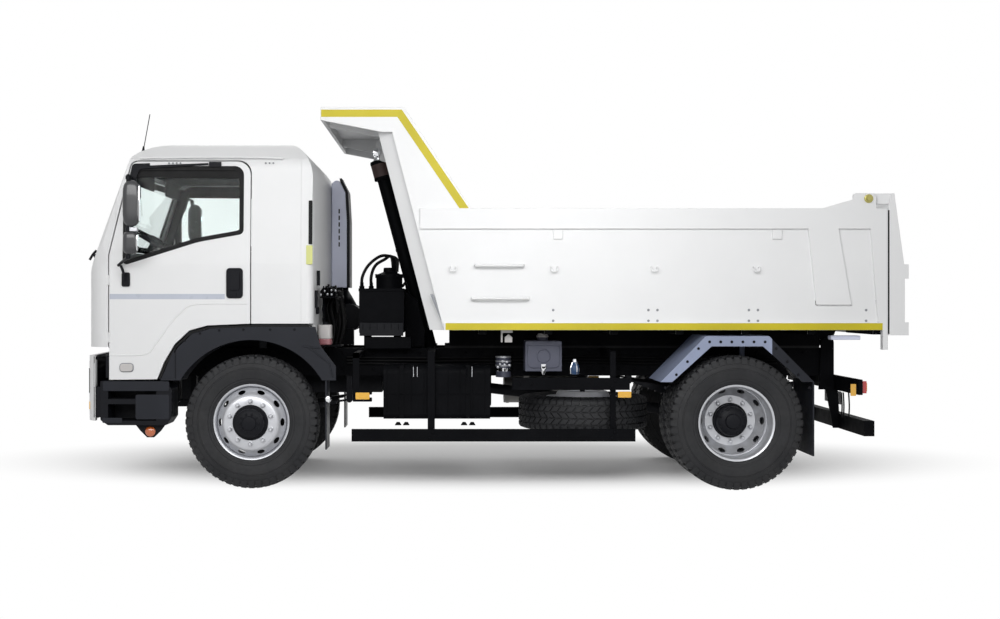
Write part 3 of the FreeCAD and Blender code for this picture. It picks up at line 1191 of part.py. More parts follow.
def side_guards():
    """Lateral guard rails on their posts and arms, on both sides."""
    y0, y1 = -GUARD_Y, -GUARD_Y + 35
    rails = [box(X_FRONT + 791, X_FRONT + 3006, y0, y1, 379, 475),
             box(X_FRONT + 2043, X_FRONT + 2962, y0, y1, 781, 875)]
    for x, half in ((X_FRONT + 1412, 28), (X_FRONT + 2835, 22)):
        rails.append(box(x - half, x + half, y1, y1 + 30, 379, 1080))
        rails.append(rail_arm(x, half, GUARD_Y - 65, 1030, 1080))
    return both_sides(joined(*rails))


def spare_wheel():
    """Spare tyre lying flat under the frame, its disc wheel, and the carrier that holds it."""
    x, y, z = X_FRONT + SPARE_X, -SPARE_Y, SPARE_Z
    flat = FreeCAD.Placement(vec(x, y, z), FreeCAD.Rotation(vec(1, 0, 0), -90))
    centred = FreeCAD.Placement(vec(0, 0, -TYRE_RADIUS), FreeCAD.Rotation())
    ring, disc = tyre(0, 0), disc_wheel(0, 0, DISC_OFFSET - DISC_THICK)
    for shape in (ring, disc):
        shape.Placement = flat.multiply(centred)
    face_z = disc.BoundBox.ZMin
    low = RAIL_TOP - RAIL_HEIGHT
    carrier = joined(box(x - 30, x + 30, y - 60, -RAIL_OUTER_Y + RAIL_FLANGE, low - 40, low),
                     rod(vec(x, y, face_z - 15), vec(x, y, low), 20),
                     rod(vec(x, y, face_z - 15), vec(x, y, face_z - RUN), STUD_CIRCLE + 25))
    return {"spare_tyre": ring, "spare_wheel": disc, "spare_carrier": carrier}


def fluid_tank():
    """Square fluid tank and the air dryer ahead of it, each on an arm."""
    x0, x1 = X_FRONT + 2163, X_FRONT + 2455
    tank = joined(box(x0, x1, -880, -600, 913, 1150), rod(vec(x0 + 146, -740, 1150), vec(x0 + 146, -740, 1185), 45),
                  rail_arm((x0 + x1) / 2, 25, 610, 950, 1010))
    dryer_x = X_FRONT + 1998
    dryer = joined(rod(vec(dryer_x, -560, 851), vec(dryer_x, -560, 1020), 62),
                   rail_arm(dryer_x, 20, 540, 960, 1000))
    return Part.makeCompound([tank, dryer])


def hoist_oil_tank():
    """Oil tank behind the cab on two posts, with its filler dome."""
    x0, x1 = X_FRONT + 812, X_FRONT + 1180
    y0, y1 = -RAIL_OUTER_Y - 180, -OIL_TANK_INNER
    posts = [box(x - 30, x + 30, -RAIL_OUTER_Y, -RAIL_OUTER_Y + RAIL_FLANGE, RAIL_TOP, 1217)
             for x in (x0 + 60, x1 - 60)]
    return joined(box(x0, x1, y0, y1, 1217, 1577), *posts,
                  rod(vec(x1 - 130, (y0 + y1) / 2, 1577), vec(x1 - 130, (y0 + y1) / 2, 1690), 110))


def muffler():
    """Silencer across the right side with its tail pipe and bracket."""
    x0 = X_FRONT + 2050
    y, z = 720, 700
    body = rod(vec(x0, y, z), vec(x0 + 760, y, z), 150)
    return joined(body, rod(vec(x0 + 700, y, z), vec(x0 + 900, y, z), 50),
                  rail_arm(x0 + 200, 25, 600, 870, 920, 1), box(x0 + 175, x0 + 225, 560, 620, 700, 920))


SINGLE_NODES = {
    "frame_rails": frame_rails, "crossmembers": crossmembers, "bed_strips": bed_strips,
    "bed_pivot_brackets": bed_pivot_brackets, "rear_bar": rear_bar, "tail_lamps": tail_lamps,
    "engine_gearbox": engine_gearbox, "radiator": radiator, "drive_shaft": drive_shaft,
    "front_axle": front_axle, "rear_axle": rear_axle, "leaf_springs": leaf_springs,
    "tie_rod": tie_rod, "bumper": bumper, "headlamps": headlamps, "entry_steps": entry_steps,
    "mudguards": mudguards, "cab_mounts": cab_mounts, "cab_floor": cab_floor,
    "cab_glass": cab_glass, "snorkel": snorkel, "headboard": headboard, "bed_floor": bed_floor,
    "tailgate": tailgate, "side_boxes": side_boxes, "side_guards": side_guards,
    "fluid_tank": fluid_tank, "hoist_oil_tank": hoist_oil_tank, "muffler": muffler,
}


def build():
    """Every node's shape by name."""
    nodes = {name: make() for name, make in SINGLE_NODES.items()}
    nodes["bed_sides"] = both_sides(bed_side())
    nodes.update(side_pair("knuckle", knuckle()))
    nodes.update(side_pair("mirror", mirror()))
    for make in (front_wheels, rear_wheels, cab_panels, doors, cab_interior, hoist, spare_wheel):
        nodes.update(make())
    return nodes


os.makedirs("parts", exist_ok=True)
for node, shape in build().items():
    shape.exportStep("parts/" + node + ".step")
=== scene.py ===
"""Looks of the two-axle dump truck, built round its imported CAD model.

Everything is in metres: x runs to the rear, y to the truck's right and z up. Places along the truck
are given in millimetres behind the front axle with at(), because the truck is laid out from there.
"""
import json
import math

import bmesh
import bpy
from mathutils.bvhtree import BVHTree
from mathutils import Matrix, Vector


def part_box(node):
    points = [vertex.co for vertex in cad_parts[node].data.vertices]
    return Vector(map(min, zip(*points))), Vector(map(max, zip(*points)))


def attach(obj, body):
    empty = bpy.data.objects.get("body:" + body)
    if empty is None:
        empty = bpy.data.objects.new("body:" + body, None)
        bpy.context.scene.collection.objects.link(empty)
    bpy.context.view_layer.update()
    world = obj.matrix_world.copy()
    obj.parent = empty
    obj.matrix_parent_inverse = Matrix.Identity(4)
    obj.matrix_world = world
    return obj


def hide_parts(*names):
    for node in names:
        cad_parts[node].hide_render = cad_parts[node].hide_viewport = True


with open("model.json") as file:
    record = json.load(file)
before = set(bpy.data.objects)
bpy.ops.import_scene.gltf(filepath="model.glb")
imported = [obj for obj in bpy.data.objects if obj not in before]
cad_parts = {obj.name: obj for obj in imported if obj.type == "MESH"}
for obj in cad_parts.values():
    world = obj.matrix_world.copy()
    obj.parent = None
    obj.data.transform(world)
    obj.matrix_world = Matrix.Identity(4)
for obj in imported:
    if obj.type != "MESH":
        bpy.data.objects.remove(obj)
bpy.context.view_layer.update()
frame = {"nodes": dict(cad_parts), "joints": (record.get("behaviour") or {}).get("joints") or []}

X, Y, Z = Vector((1, 0, 0)), Vector((0, 1, 0)), Vector((0, 0, 1))
SIDES = ((-1, "left"), (1, "right"))


def node_centre(node):
    """Middle of a CAD node's box."""
    low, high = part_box(node)
    return (low + high) / 2


FRONT_X = node_centre("front_tyre_left").x
WHEELBASE = round((node_centre("rear_tyres_left").x - FRONT_X) * 1000)


def at(x, y, z):
    """Point from millimetres behind the front axle, to the right, and above the ground."""
    return Vector((FRONT_X + x / 1000, y / 1000, z / 1000))


def plan(corners):
    """Outline given in millimetres behind the front axle and above the ground, in metres."""
    return [(FRONT_X + c[0] / 1000, c[1] / 1000, *(r / 1000 for r in c[2:])) for c in corners]


def rect(u0, u1, v0, v1, radius=0):
    """Corners of a rectangle with rounded corners."""
    return [(u0, v0, radius), (u0, v1, radius), (u1, v1, radius), (u1, v0, radius)]


def plate(x0, x1, z0, z1, radius=0):
    """Rounded rectangle in the side view, from millimetres."""
    return plan(rect(x0, x1, z0, z1, radius))


# ---- materials ----

def fill(tree, node, values):
    """Sets a node's inputs, each to a number or colour or linked to a socket."""
    for key, value in values.items():
        if isinstance(value, bpy.types.NodeSocket):
            tree.links.new(value, node.inputs[key])
        else:
            node.inputs[key].default_value = value


def add_node(tree, kind, values=None, **settings):
    """Adds a shader node and gives its first output."""
    node = tree.nodes.new("ShaderNode" + kind)
    for key, value in settings.items():
        setattr(node, key, value)
    fill(tree, node, values or {})
    return node.outputs[0] if node.outputs else node


def shader(name, colour, rough, metal=0.0, mottle=0.06, mottle_scale=2.5, grain=0.0, grain_scale=300,
           dust=0.0, edge=0.0, coat=0.0, sheen=0.0, spec=0.5):
    """Principled material whose colour, roughness and bump come from noise in object space."""
    mat = bpy.data.materials.new(name)
    mat.use_nodes = True
    tree = mat.node_tree
    coords = tree.nodes.new("ShaderNodeTexCoord").outputs["Object"]

    def noise(scale, detail):
        return add_node(tree, "TexNoise", {"Scale": scale, "Detail": detail, "Vector": coords})

    def spread(value, low, high, start=0.3, stop=0.7):
        return add_node(tree, "MapRange", {"Value": value, "From Min": start, "From Max": stop,
                                           "To Min": low, "To Max": high})

    def mixed(factor, first, second):
        add_node(tree, "Mix", {0: factor, 6: first, 7: second}, data_type="RGBA")
        return tree.nodes[-1].outputs[2]

    darker = (*(max(0, c * (1 - mottle)) for c in colour), 1)
    lighter = (*(min(1, c * (1 + mottle)) for c in colour), 1)
    tint = mixed(spread(noise(mottle_scale, 6), 0, 1), darker, lighter)
    if dust:
        split = tree.nodes.new("ShaderNodeSeparateXYZ")
        tree.links.new(coords, split.inputs[0])
        cloud = add_node(tree, "Math", {0: spread(split.outputs["Z"], 1, 0, 0.1, 1.3),
                                        1: spread(noise(5, 8), 0, dust, 0.35, 0.75)}, operation="MULTIPLY")
        tint = mixed(cloud, tint, (0.23, 0.22, 0.2, 1))
    values = {"Metallic": metal, "Specular IOR Level": spec, "Coat Weight": coat, "Coat Roughness": 0.08,
              "Sheen Weight": sheen, "Base Color": tint,
              "Roughness": spread(noise(mottle_scale * 6, 4), rough - 0.05, rough + 0.07)}
    if edge:
        values["Normal"] = add_node(tree, "Bevel", {"Radius": edge}, samples=4)
    if grain:
        bump = {"Strength": grain, "Distance": 0.002, "Height": noise(grain_scale, 3)}
        bump.update({key: value for key, value in values.items() if key == "Normal"})
        values["Normal"] = add_node(tree, "Bump", bump)
    fill(tree, tree.nodes["Principled BSDF"], values)
    return mat


def clear(name, colour, rough=0.02, ior=1.45):
    """Clear or tinted see-through material with faint waviness."""
    mat = shader(name, colour, rough + 0.05, mottle=0.02, grain=0.02, grain_scale=4)
    surface = mat.node_tree.nodes["Principled BSDF"]
    for link in list(surface.inputs["Roughness"].links):
        mat.node_tree.links.remove(link)
    fill(mat.node_tree, surface, {"Transmission Weight": 1, "IOR": ior, "Roughness": rough})
    return mat


LOOK = {name: shader(name, colour, rough, **more) for name, colour, rough, more in (
    ("white_paint", (0.80, 0.805, 0.81), 0.42, dict(mottle=0.015, grain=0.03, grain_scale=90, edge=0.006)),
    ("black_frame", (0.0028, 0.003, 0.004), 0.55,
     dict(mottle=0.3, grain=0.1, grain_scale=120, dust=0.01, edge=0.003, spec=0.04)),
    ("dark_cast", (0.008, 0.0085, 0.011), 0.58,
     dict(metal=0.1, mottle=0.4, grain=0.35, grain_scale=180, dust=0.05, edge=0.004, spec=0.12)),
    ("black_plastic", (0.006, 0.0065, 0.009), 0.45,
     dict(mottle=0.12, grain=0.2, grain_scale=700, dust=0.01, edge=0.003, spec=0.12)),
    ("fender", (0.012, 0.0135, 0.019), 0.42,
     dict(mottle=0.15, grain=0.15, grain_scale=500, dust=0.02, edge=0.004, spec=0.2)),
    # painted reflection: the blue-grey that the black rear mudguards show from the sky, given as a colour,
    # with real dust
    ("rear_fender", (0.26, 0.30, 0.42), 0.5, dict(mottle=0.08, grain=0.1, dust=0.05, edge=0.004)),
    ("mirror_shell", (0.010, 0.0105, 0.014), 0.3, dict(coat=0.6, mottle=0.1)),
    ("rubber", (0.007, 0.007, 0.0075), 0.62, dict(mottle=0.2, grain=0.15, grain_scale=250, spec=0.2)),
    ("tyre", (0.012, 0.0125, 0.0145), 0.6,
     dict(mottle=0.25, mottle_scale=6, grain=0.25, grain_scale=220, dust=0.04, spec=0.3)),
    ("silver_paint", (0.56, 0.57, 0.60), 0.33,
     dict(metal=0.5, grain=0.08, grain_scale=160, dust=0.08, edge=0.002)),
    ("red_lamp", (0.5, 0.012, 0.012), 0.15, dict(coat=1, mottle=0.1, grain=0.3, grain_scale=80)),
    ("grey_tank", (0.075, 0.08, 0.115), 0.45, dict(mottle=0.1, grain=0.1, dust=0.06, edge=0.006, spec=0.4)),
    ("floor_grey", (0.05, 0.052, 0.058), 0.8, dict(mottle=0.25, grain=0.4, spec=0.3)),
    ("seat_fabric", (0.05, 0.055, 0.066), 0.85,
     dict(mottle=0.2, mottle_scale=40, grain=0.6, grain_scale=900, sheen=0.3, spec=0.2)),
    ("dash_plastic", (0.018, 0.019, 0.022), 0.6, dict(mottle=0.1, grain=0.3, grain_scale=900, spec=0.3)),
    ("steel_rod", (0.6, 0.61, 0.63), 0.18, dict(metal=1, mottle=0.04, grain=0.05)),
    ("muffler_steel", (0.3, 0.29, 0.28), 0.45,
     dict(metal=0.8, mottle=0.2, mottle_scale=8, grain=0.2, dust=0.2)),
    ("yellow", (0.56, 0.47, 0.02), 0.42, dict(mottle=0.07, grain=0.2, grain_scale=500, spec=0.3)),
    ("pale_yellow", (0.62, 0.64, 0.22), 0.4, dict(mottle=0.05)),
    ("orange", (0.62, 0.13, 0.02), 0.15, dict(coat=1, mottle=0.1, grain=0.3, grain_scale=80)),
    ("amber", (0.80, 0.42, 0.02), 0.15, dict(coat=1, mottle=0.1, grain=0.3, grain_scale=80)),
    ("chrome", (0.75, 0.76, 0.78), 0.12, dict(metal=1, mottle=0.03)),
    ("brass", (0.42, 0.38, 0.12), 0.4, dict(metal=0.6, mottle=0.2)),
    ("sky_stripe", (0.50, 0.53, 0.61), 0.3, dict(coat=0.3, mottle=0.05)),
    ("hose", (0.003, 0.003, 0.0035), 0.45, dict(mottle=0.2, grain=0.3, grain_scale=400, spec=0.1)),
    ("red_fluid", (0.42, 0.16, 0.18), 0.35, dict(mottle=0.2, coat=0.5)),
    ("bottle", (0.55, 0.53, 0.52), 0.35, dict(coat=0.3)),
    ("blue_fluid", (0.03, 0.07, 0.16), 0.3, dict(mottle=0.15, coat=0.5)),
    ("mirror_glass", (0.8, 0.82, 0.84), 0.03, dict(metal=1, mottle=0.01)),
    ("trim_grey", (0.28, 0.29, 0.31), 0.75, dict(grain=0.4, grain_scale=800)),
    ("pillar_grey", (0.020, 0.022, 0.025), 0.8, dict(mottle=0.08, grain=0.4, grain_scale=800, spec=0.25)),
    # painted shade: the bluish, darker tint that white takes in shade, given as a colour to white parts
    ("lilac", (0.70, 0.73, 0.88), 0.5, dict(mottle=0.05, edge=0.004)),
    ("brown_mark", (0.045, 0.022, 0.02), 0.6, dict(mottle=0.3)),
)}
LOOK["glass"] = clear("glass", (0.90, 0.95, 0.94), ior=1.15)
LOOK["lamp"] = clear("lamp", (0.95, 0.96, 1.0), 0.03)
DRESSED = {"mudguards": "fender", "hoist_oil_tank": "black_frame"}

for node, obj in frame["nodes"].items():
    for slot in obj.material_slots:
        slot.material = LOOK[DRESSED.get(node, slot.material.name.split(".")[0])]


# ---- building pieces ----

def mesh_of(bm, name, smooth=35):
    """Mesh from a bmesh, with flat faces across edges sharper than smooth degrees."""
    bmesh.ops.remove_doubles(bm, verts=bm.verts, dist=1e-6)
    bmesh.ops.recalc_face_normals(bm, faces=bm.faces)
    mesh = bpy.data.meshes.new(name)
    bm.to_mesh(mesh)
    bm.free()
    mesh.shade_smooth()
    mesh.set_sharp_from_angle(angle=math.radians(smooth))
    return mesh


def linked(name, data):
    """New object in the scene."""
    obj = bpy.data.objects.new(name, data)
    bpy.context.scene.collection.objects.link(obj)
    return obj


def piece(name, mesh, look, body, place=None, bevel=0.0, nodes=()):
    """Puts a mesh in the scene as a piece that rides on a body."""
    if isinstance(mesh, bmesh.types.BMesh):
        mesh = mesh_of(mesh, name)
    obj = linked(name, mesh)
    if not mesh.materials:
        mesh.materials.append(LOOK[look])
    if place is not None:
        obj.matrix_world = place
    if bevel:
        rounding = obj.modifiers.new("edges", "BEVEL")
        rounding.width, rounding.segments, rounding.limit_method = bevel, 2, "ANGLE"
        rounding.angle_limit = math.radians(40)
        rounding.harden_normals = True
    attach(obj, body)
    if nodes:
        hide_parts(*nodes)
    return obj


def made(name, look, body, *steps, fit=None, **options):
    """Piece put together from steps, each a builder and what it takes, and then fitted in place."""
    bm = bmesh.new()
    for build, *values in steps:
        build(bm, *values)
    return piece(name, fit(bm) if fit else bm, look, body, **options)


def on_both(fit, *rows):
    """Makes each row's piece on either side; a body called door is that side's door."""
    for side, label in SIDES:
        for name, look, body, bevel, *steps in rows:
            body = "door_" + label if body == "door" else body
            made(name + "_" + label, look, body, *steps, fit=fit(side), bevel=bevel)


def sided(plane=0.0):
    """Fit that moves a flat-built mesh out to a plane on either side."""
    def fit_for(side):
        def fit(bm):
            for vertex in bm.verts:
                vertex.co.y = side * (plane + vertex.co.y)
            return bm
        return fit
    return fit_for


def rounded(corners, steps=5):
    """(u, v) or (u, v, radius) corners as a list of points, each round corner as an arc."""
    points = []
    for i, corner in enumerate(corners):
        here = Vector(corner[:2])
        radius = corner[2] if len(corner) > 2 else 0
        if not radius:
            points.append(here)
            continue
        before = (Vector(corners[i - 1][:2]) - here).normalized()
        after = (Vector(corners[(i + 1) % len(corners)][:2]) - here).normalized()
        half = before.angle(after) / 2
        centre = here + (before + after).normalized() * radius / math.sin(half)
        start = here + before * radius / math.tan(half) - centre
        turn = start.angle_signed(here + after * radius / math.tan(half) - centre)
        for step in range(steps + 1):
            points.append(centre + Matrix.Rotation(-turn * step / steps, 2) @ start)
    return points


def spot(axis, u, v, level):
    """Point from its place in the outline's plane and its level along the axis."""
    return {"x": (level, u, v), "y": (u, level, v), "z": (u, v, level)}[axis]


def bridge(bm, *rings, ends=False):
    """Adds the faces between rings of vertices, and over the first and last ring if asked."""
    if ends:
        bm.faces.new(rings[0])
        bm.faces.new(rings[-1])
    for first, second in zip(rings, rings[1:]):
        for i in range(len(first)):
            j = (i + 1) % len(first)
            bm.faces.new((first[i], first[j], second[j], second[i]))


def prism(bm, corners, axis, low, high):
    """Adds the outline (in the two other axes, in their order) extruded from low to high."""
    outline = rounded(corners)
    bridge(bm, *([bm.verts.new(spot(axis, *point, level)) for point in outline] for level in (low, high)),
           ends=True)


def block(bm, one, other):
    """Adds a box between two opposite corners."""
    low, high = (Vector([pick(pair) for pair in zip(one, other)]) for pick in (min, max))
    prism(bm, [(low.x, low.y), (high.x, low.y), (high.x, high.y), (low.x, high.y)], "z", low.z, high.z)


def frame_along(direction):
    """Two unit vectors square to a direction."""
    side = direction.cross(Z)
    if side.length < 1e-3:
        side = direction.cross(X)
    side.normalize()
    return side, side.cross(direction).normalized()


def circle(bm, middle, side, up, radius, count):
    """Ring of new vertices round a point."""
    return [bm.verts.new(middle + (side * math.cos(a) + up * math.sin(a)) * radius)
            for a in (2 * math.pi * i / count for i in range(count))]


def lathe(bm, profile, origin, axis, count=48, closed=False):
    """Adds (distance along the axis, radius) points turned round the axis."""
    axis = axis.normalized()
    side, up = frame_along(axis)
    rings = []
    for distance, radius in profile:
        middle = origin + axis * distance
        rings.append([bm.verts.new(middle)] if radius < 1e-6 else circle(bm, middle, side, up, radius, count))
    for first, second in zip(rings, rings[1:] + (rings[:1] if closed else [])):
        for i in range(count):
            j = (i + 1) % count
            corners = dict.fromkeys((first[i % len(first)], first[j % len(first)],
                                     second[j % len(second)], second[i % len(second)]))
            if len(corners) > 2:
                bm.faces.new(tuple(corners))


def turned(bm, profile, origin, axis, count=48):
    """Adds a turned solid whose profile is closed to the axis at both ends."""
    lathe(bm, [(profile[0][0], 0), *profile, (profile[-1][0], 0)], origin, axis, count)


def smooth_path(points, steps=8):
    """Catmull-Rom curve through the points."""
    ends = [points[0] * 2 - points[1], *points, points[-1] * 2 - points[-2]]
    path = []
    for a, b, c, d in zip(ends, ends[1:], ends[2:], ends[3:]):
        for t in (step / steps for step in range(steps)):
            path.append(0.5 * ((2 * b) + (c - a) * t + (2 * a - 5 * b + 4 * c - d) * t * t
                               + (3 * b - a - 3 * c + d) * t ** 3))
    return path + [points[-1]]


def pipe(bm, points, radius, count=10, steps=8):
    """Adds a closed round pipe along a smooth curve through the points (steps=1: straight runs)."""
    path = smooth_path(points, steps) if steps > 1 else points
    side = frame_along((path[1] - path[0]).normalized())[0]
    rings = []
    for i, here in enumerate(path):
        along = (path[min(i + 1, len(path) - 1)] - path[max(i - 1, 0)]).normalized()
        side = (side - along * side.dot(along)).normalized()
        rings.append(circle(bm, here, side, side.cross(along), radius, count))
    bridge(bm, *rings, ends=True)


def bolt(bm, seat, normal, radius=0.012, height=0.009):
    """Adds a hexagon head with its washer, seated at a point."""
    turned(bm, [(0, radius * 1.25), (0.0025, radius * 1.25)], seat, normal, 12)
    turned(bm, [(0.002, radius), (height * 0.8, radius), (height, radius * 0.85)], seat, normal, 6)


def bolts(seats, normal, radius=0.012, height=0.009):
    """Steps for a bolt at each seat."""
    return [(bolt, seat, normal, radius, height) for seat in seats]


def punched(bm, cutters, name):
    """Mesh of bm with the cutters' space taken out."""
    body, holes = (linked(name + label, mesh_of(part, name + label))
                   for part, label in ((bm, "_body"), (cutters, "_holes")))
    cut = body.modifiers.new("holes", "BOOLEAN")
    cut.operation, cut.solver, cut.object = "DIFFERENCE", "EXACT", holes
    graph = bpy.context.evaluated_depsgraph_get()
    mesh = bpy.data.meshes.new_from_object(body.evaluated_get(graph))
    for obj in (body, holes):
        bpy.data.objects.remove(obj)
    return mesh


def twin_sheets(bm, place, cols, rows):
    """Adds two gridded sheets joined round their rims; place(face, u, v) gives each point."""
    rims = []
    for face in (0, 1):
        grid = [[bm.verts.new(place(face, i / cols, j / rows)) for i in range(cols + 1)]
                for j in range(rows + 1)]
        for first, second in zip(grid, grid[1:]):
            for i in range(cols):
                bm.faces.new((first[i], first[i + 1], second[i + 1], second[i]))
        rims.append(grid[0] + [line[-1] for line in grid[1:-1]] + grid[-1][::-1]
                    + [line[0] for line in grid[-2:0:-1]])
    bridge(bm, *rims)


def slab(bm, u_span, v_span, low, high, axis, cols=24, rows=2):
    """Adds a thin gridded slab, fine enough to be draped over a curved skin."""
    def place(face, u, v):
        return spot(axis, u_span[0] + (u_span[1] - u_span[0]) * u, v_span[0] + (v_span[1] - v_span[0]) * v,
                    (low, high)[face])
    twin_sheets(bm, place, cols, rows)


def skin_of(*nodes):
    """Search tree over the faces of CAD nodes, to lay trim on them."""
    corners, faces = [], []
    for mesh in (frame["nodes"][node].data for node in nodes):
        first = len(corners)
        corners += [vertex.co.copy() for vertex in mesh.vertices]
        faces += [[first + i for i in face.vertices] for face in mesh.polygons]
    return BVHTree.FromPolygons(corners, faces)


NUDGES = ((0, 0), (0.007, 0), (-0.007, 0), (0, 0.007), (0, -0.007))


def draped(skin, axis, side):
    """Fit that lays a flat-built mesh on the skin from outside; its depth is its distance out of it."""
    w = "xyz".index(axis)
    inward = Vector([-side if i == w else 0 for i in range(3)])
    u, v = (i for i in range(3) if i != w)

    def fit(bm):
        level = 0
        for vertex in bm.verts:
            out = vertex.co[w]
            for du, dv in NUDGES:
                start = vertex.co.copy()
                start[w] = 10 * side
                start[u] += du
                start[v] += dv
                hit = skin.ray_cast(start, inward)[0]
                if hit:
                    level = hit[w]
                    break
            vertex.co[w] = level + out * side
        return bm
    return fit


def finer(points, step=0.05):
    """Loop of 2D points with its long sides divided."""
    dense = []
    for here, there in zip(points, points[1:] + points[:1]):
        count = max(1, math.ceil((there - here).length / step))
        dense += [here.lerp(there, k / count) for k in range(count)]
    return dense


def shifted(points, distance):
    """Loop of 2D points moved sideways by a distance, to the left of its direction."""
    moved = []
    for i, here in enumerate(points):
        before = (here - points[i - 1]).normalized()
        after = (points[(i + 1) % len(points)] - here).normalized()
        normal = Vector((-(before + after).y, (before + after).x)).normalized()
        moved.append(here + normal * distance / max(0.3, normal.dot(Vector((-before.y, before.x)))))
    return moved


def ring(bm, corners, width, axis, low, high):
    """Adds a flat band along the outline, from the outline inwards or outwards by width."""
    outer = finer(rounded(corners), 0.08)
    inner = shifted(outer, width)
    loops = [[bm.verts.new(spot(axis, *point, level)) for point in points]
             for points, level in ((outer, low), (outer, high), (inner, high), (inner, low))]
    bridge(bm, *loops, loops[0])


def turned_about(centre, side):
    """Place of a piece built on the left round the origin: side -1 is left, 1 is right."""
    return Matrix.Translation(centre) @ Matrix.Rotation(0 if side < 0 else math.pi, 4, "Z")


# ---- wheels: built round the origin with outboard at -y ----

TYRE_LOW, TYRE_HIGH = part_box("front_tyre_left")
TYRE_RADIUS = (TYRE_HIGH.z - TYRE_LOW.z) / 2
TYRE_HALF = (TYRE_HIGH.y - TYRE_LOW.y) / 2
TREAD_PITCHES = 52
STUDS = 10
STUD_CIRCLE = 0.1675
HAND_HOLE_CIRCLE = 0.243
RIM_HALF = 0.123
FLANGE = 0.2985
BEAD = 0.287
RIM_WELL = 0.277

# (in from the tyre's side, in from its tread)
SIDEWALL = ((0.0345, 0.238), (0.026, 0.228), (0.022, 0.213), (0.020, 0.205), (0.016, 0.200), (0.014, 0.186),
            (0.0095, 0.181), (0.004, 0.150), (0.001, 0.126), (0.0005, 0.112), (0.0045, 0.108),
            (0.005, 0.101), (0.002, 0.098), (0.0035, 0.083), (0.008, 0.066), (0.013, 0.048),
            (0.022, 0.026), (0.04, 0.016), (0.07, 0.0135))
SHOULDER = ((0.058, 0.018), (0.056, 0.001), (0.03, 0.0028), (0.0185, 0.012), (0.0095, 0.036),
            (0.0045, 0.062), (0.009, 0.066), (0.02, 0.03))
# (outboard of the middle, radius), front face first
FRONT_DISC = [(0.178, 0.1395), (0.178, 0.200), (0.174, 0.209), (0.152, 0.226), (0.118, 0.252), (0.104, 0.262),
              (0.094, 0.270), (0.072, 0.272), (0.060, 0.272), (0.060, 0.264), (0.088, 0.262), (0.100, 0.250),
              (0.140, 0.217), (0.164, 0.200), (0.165, 0.1395)]
REAR_DISC = [(-0.152, 0.1395), (-0.15, 0.200), (-0.118, 0.222), (-0.088, 0.250), (-0.07, 0.262),
             (-0.046, 0.264), (-0.046, 0.272), (-0.066, 0.272), (-0.082, 0.262), (-0.098, 0.245),
             (-0.128, 0.224), (-0.159, 0.205), (-0.165, 0.196), (-0.165, 0.1395)]
FRONT_HUB = [(0.275, 0.030), (0.272, 0.052), (0.262, 0.058), (0.258, 0.086), (0.250, 0.100), (0.244, 0.110),
             (0.205, 0.114), (0.178, 0.114), (0.178, 0.1385), (0.13, 0.1385), (0.13, 0.16), (0.13, 0.192),
             (-0.02, 0.204)]
REAR_HUB = [(0.160, 0.040), (0.156, 0.055), (0.138, 0.060), (0.134, 0.090), (0.118, 0.112), (0.060, 0.122),
            (0.052, 0.131), (0.013, 0.132), (0.013, 0.1385), (-0.03, 0.1385), (-0.03, 0.192), (-0.2, 0.204)]


def other_way(section):
    """The section on the tyre's other side."""
    return [(-u, v) for u, v in reversed(section)]


def tread(bm, section, fill_share, phase=0.0, skew=0.0):
    """Adds blocks: an (offset, radius) section swept over part of each pitch round the tyre."""
    pitch = 2 * math.pi / TREAD_PITCHES
    for i in range(TREAD_PITCHES):
        rings = []
        for end in (-0.5, 0.5):
            corners = []
            for offset, radius in section:
                sunk = (TYRE_RADIUS - radius) / TYRE_RADIUS
                angle = pitch * (i + phase + end * (fill_share + sunk * 1.5)) + skew * offset
                corners.append(bm.verts.new((radius * math.cos(angle), -offset, radius * math.sin(angle))))
            rings.append(corners)
        bridge(bm, *rings, ends=True)


def tyre_mesh():
    """Carcass with sidewall rings, and five rows of tread blocks with heavy shoulders."""
    r = TYRE_RADIUS
    half, shoulder = ([(TYRE_HALF - u, r - v) for u, v in section] for section in (SIDEWALL, SHOULDER))
    middle = [(0.029, r - 0.018), (0.031, r - 0.0006), (0.069, r - 0.0008), (0.071, r - 0.018)]
    centre = [(-0.021, r - 0.018), (-0.0195, r), (0.0195, r), (0.021, r - 0.018)]
    bm = bmesh.new()
    lathe(bm, half + other_way(half), Vector(), -Y, 120)
    tread(bm, shoulder, 0.62)
    tread(bm, other_way(shoulder), 0.62, 0.5)
    tread(bm, middle, 0.74, 0.4, 1.6)
    tread(bm, other_way(middle), 0.74, 0.9, 1.6)
    tread(bm, centre, 0.78, 0.15, -1.6)
    return mesh_of(bm, "tyre", 28)


def around(count, radius, depth, turn=0.0):
    """Points round the wheel's axle, at a depth outboard."""
    angles = (2 * math.pi * i / count + turn for i in range(count))
    return [Vector((radius * math.cos(a), -depth, radius * math.sin(a))) for a in angles]


def nuts(bm, face, radius=0.0165, height=0.03):
    """Adds a ring of wheel nuts with washers and stud ends."""
    for seat in around(STUDS, STUD_CIRCLE, face, math.pi / 2):
        lathe(bm, [(0, 0), (0, radius * 1.35), (0.005, radius * 1.3), (0.006, radius)], seat, -Y, 18)
        lathe(bm, [(0.004, 0), (0.004, radius), (height * 0.85, radius), (height, radius * 0.8),
                   (height, 0.011)], seat, -Y, 6)
        lathe(bm, [(height - 0.002, 0.0105), (height + 0.01, 0.0105), (height + 0.012, 0.008),
                   (height + 0.012, 0)], seat, -Y, 12)


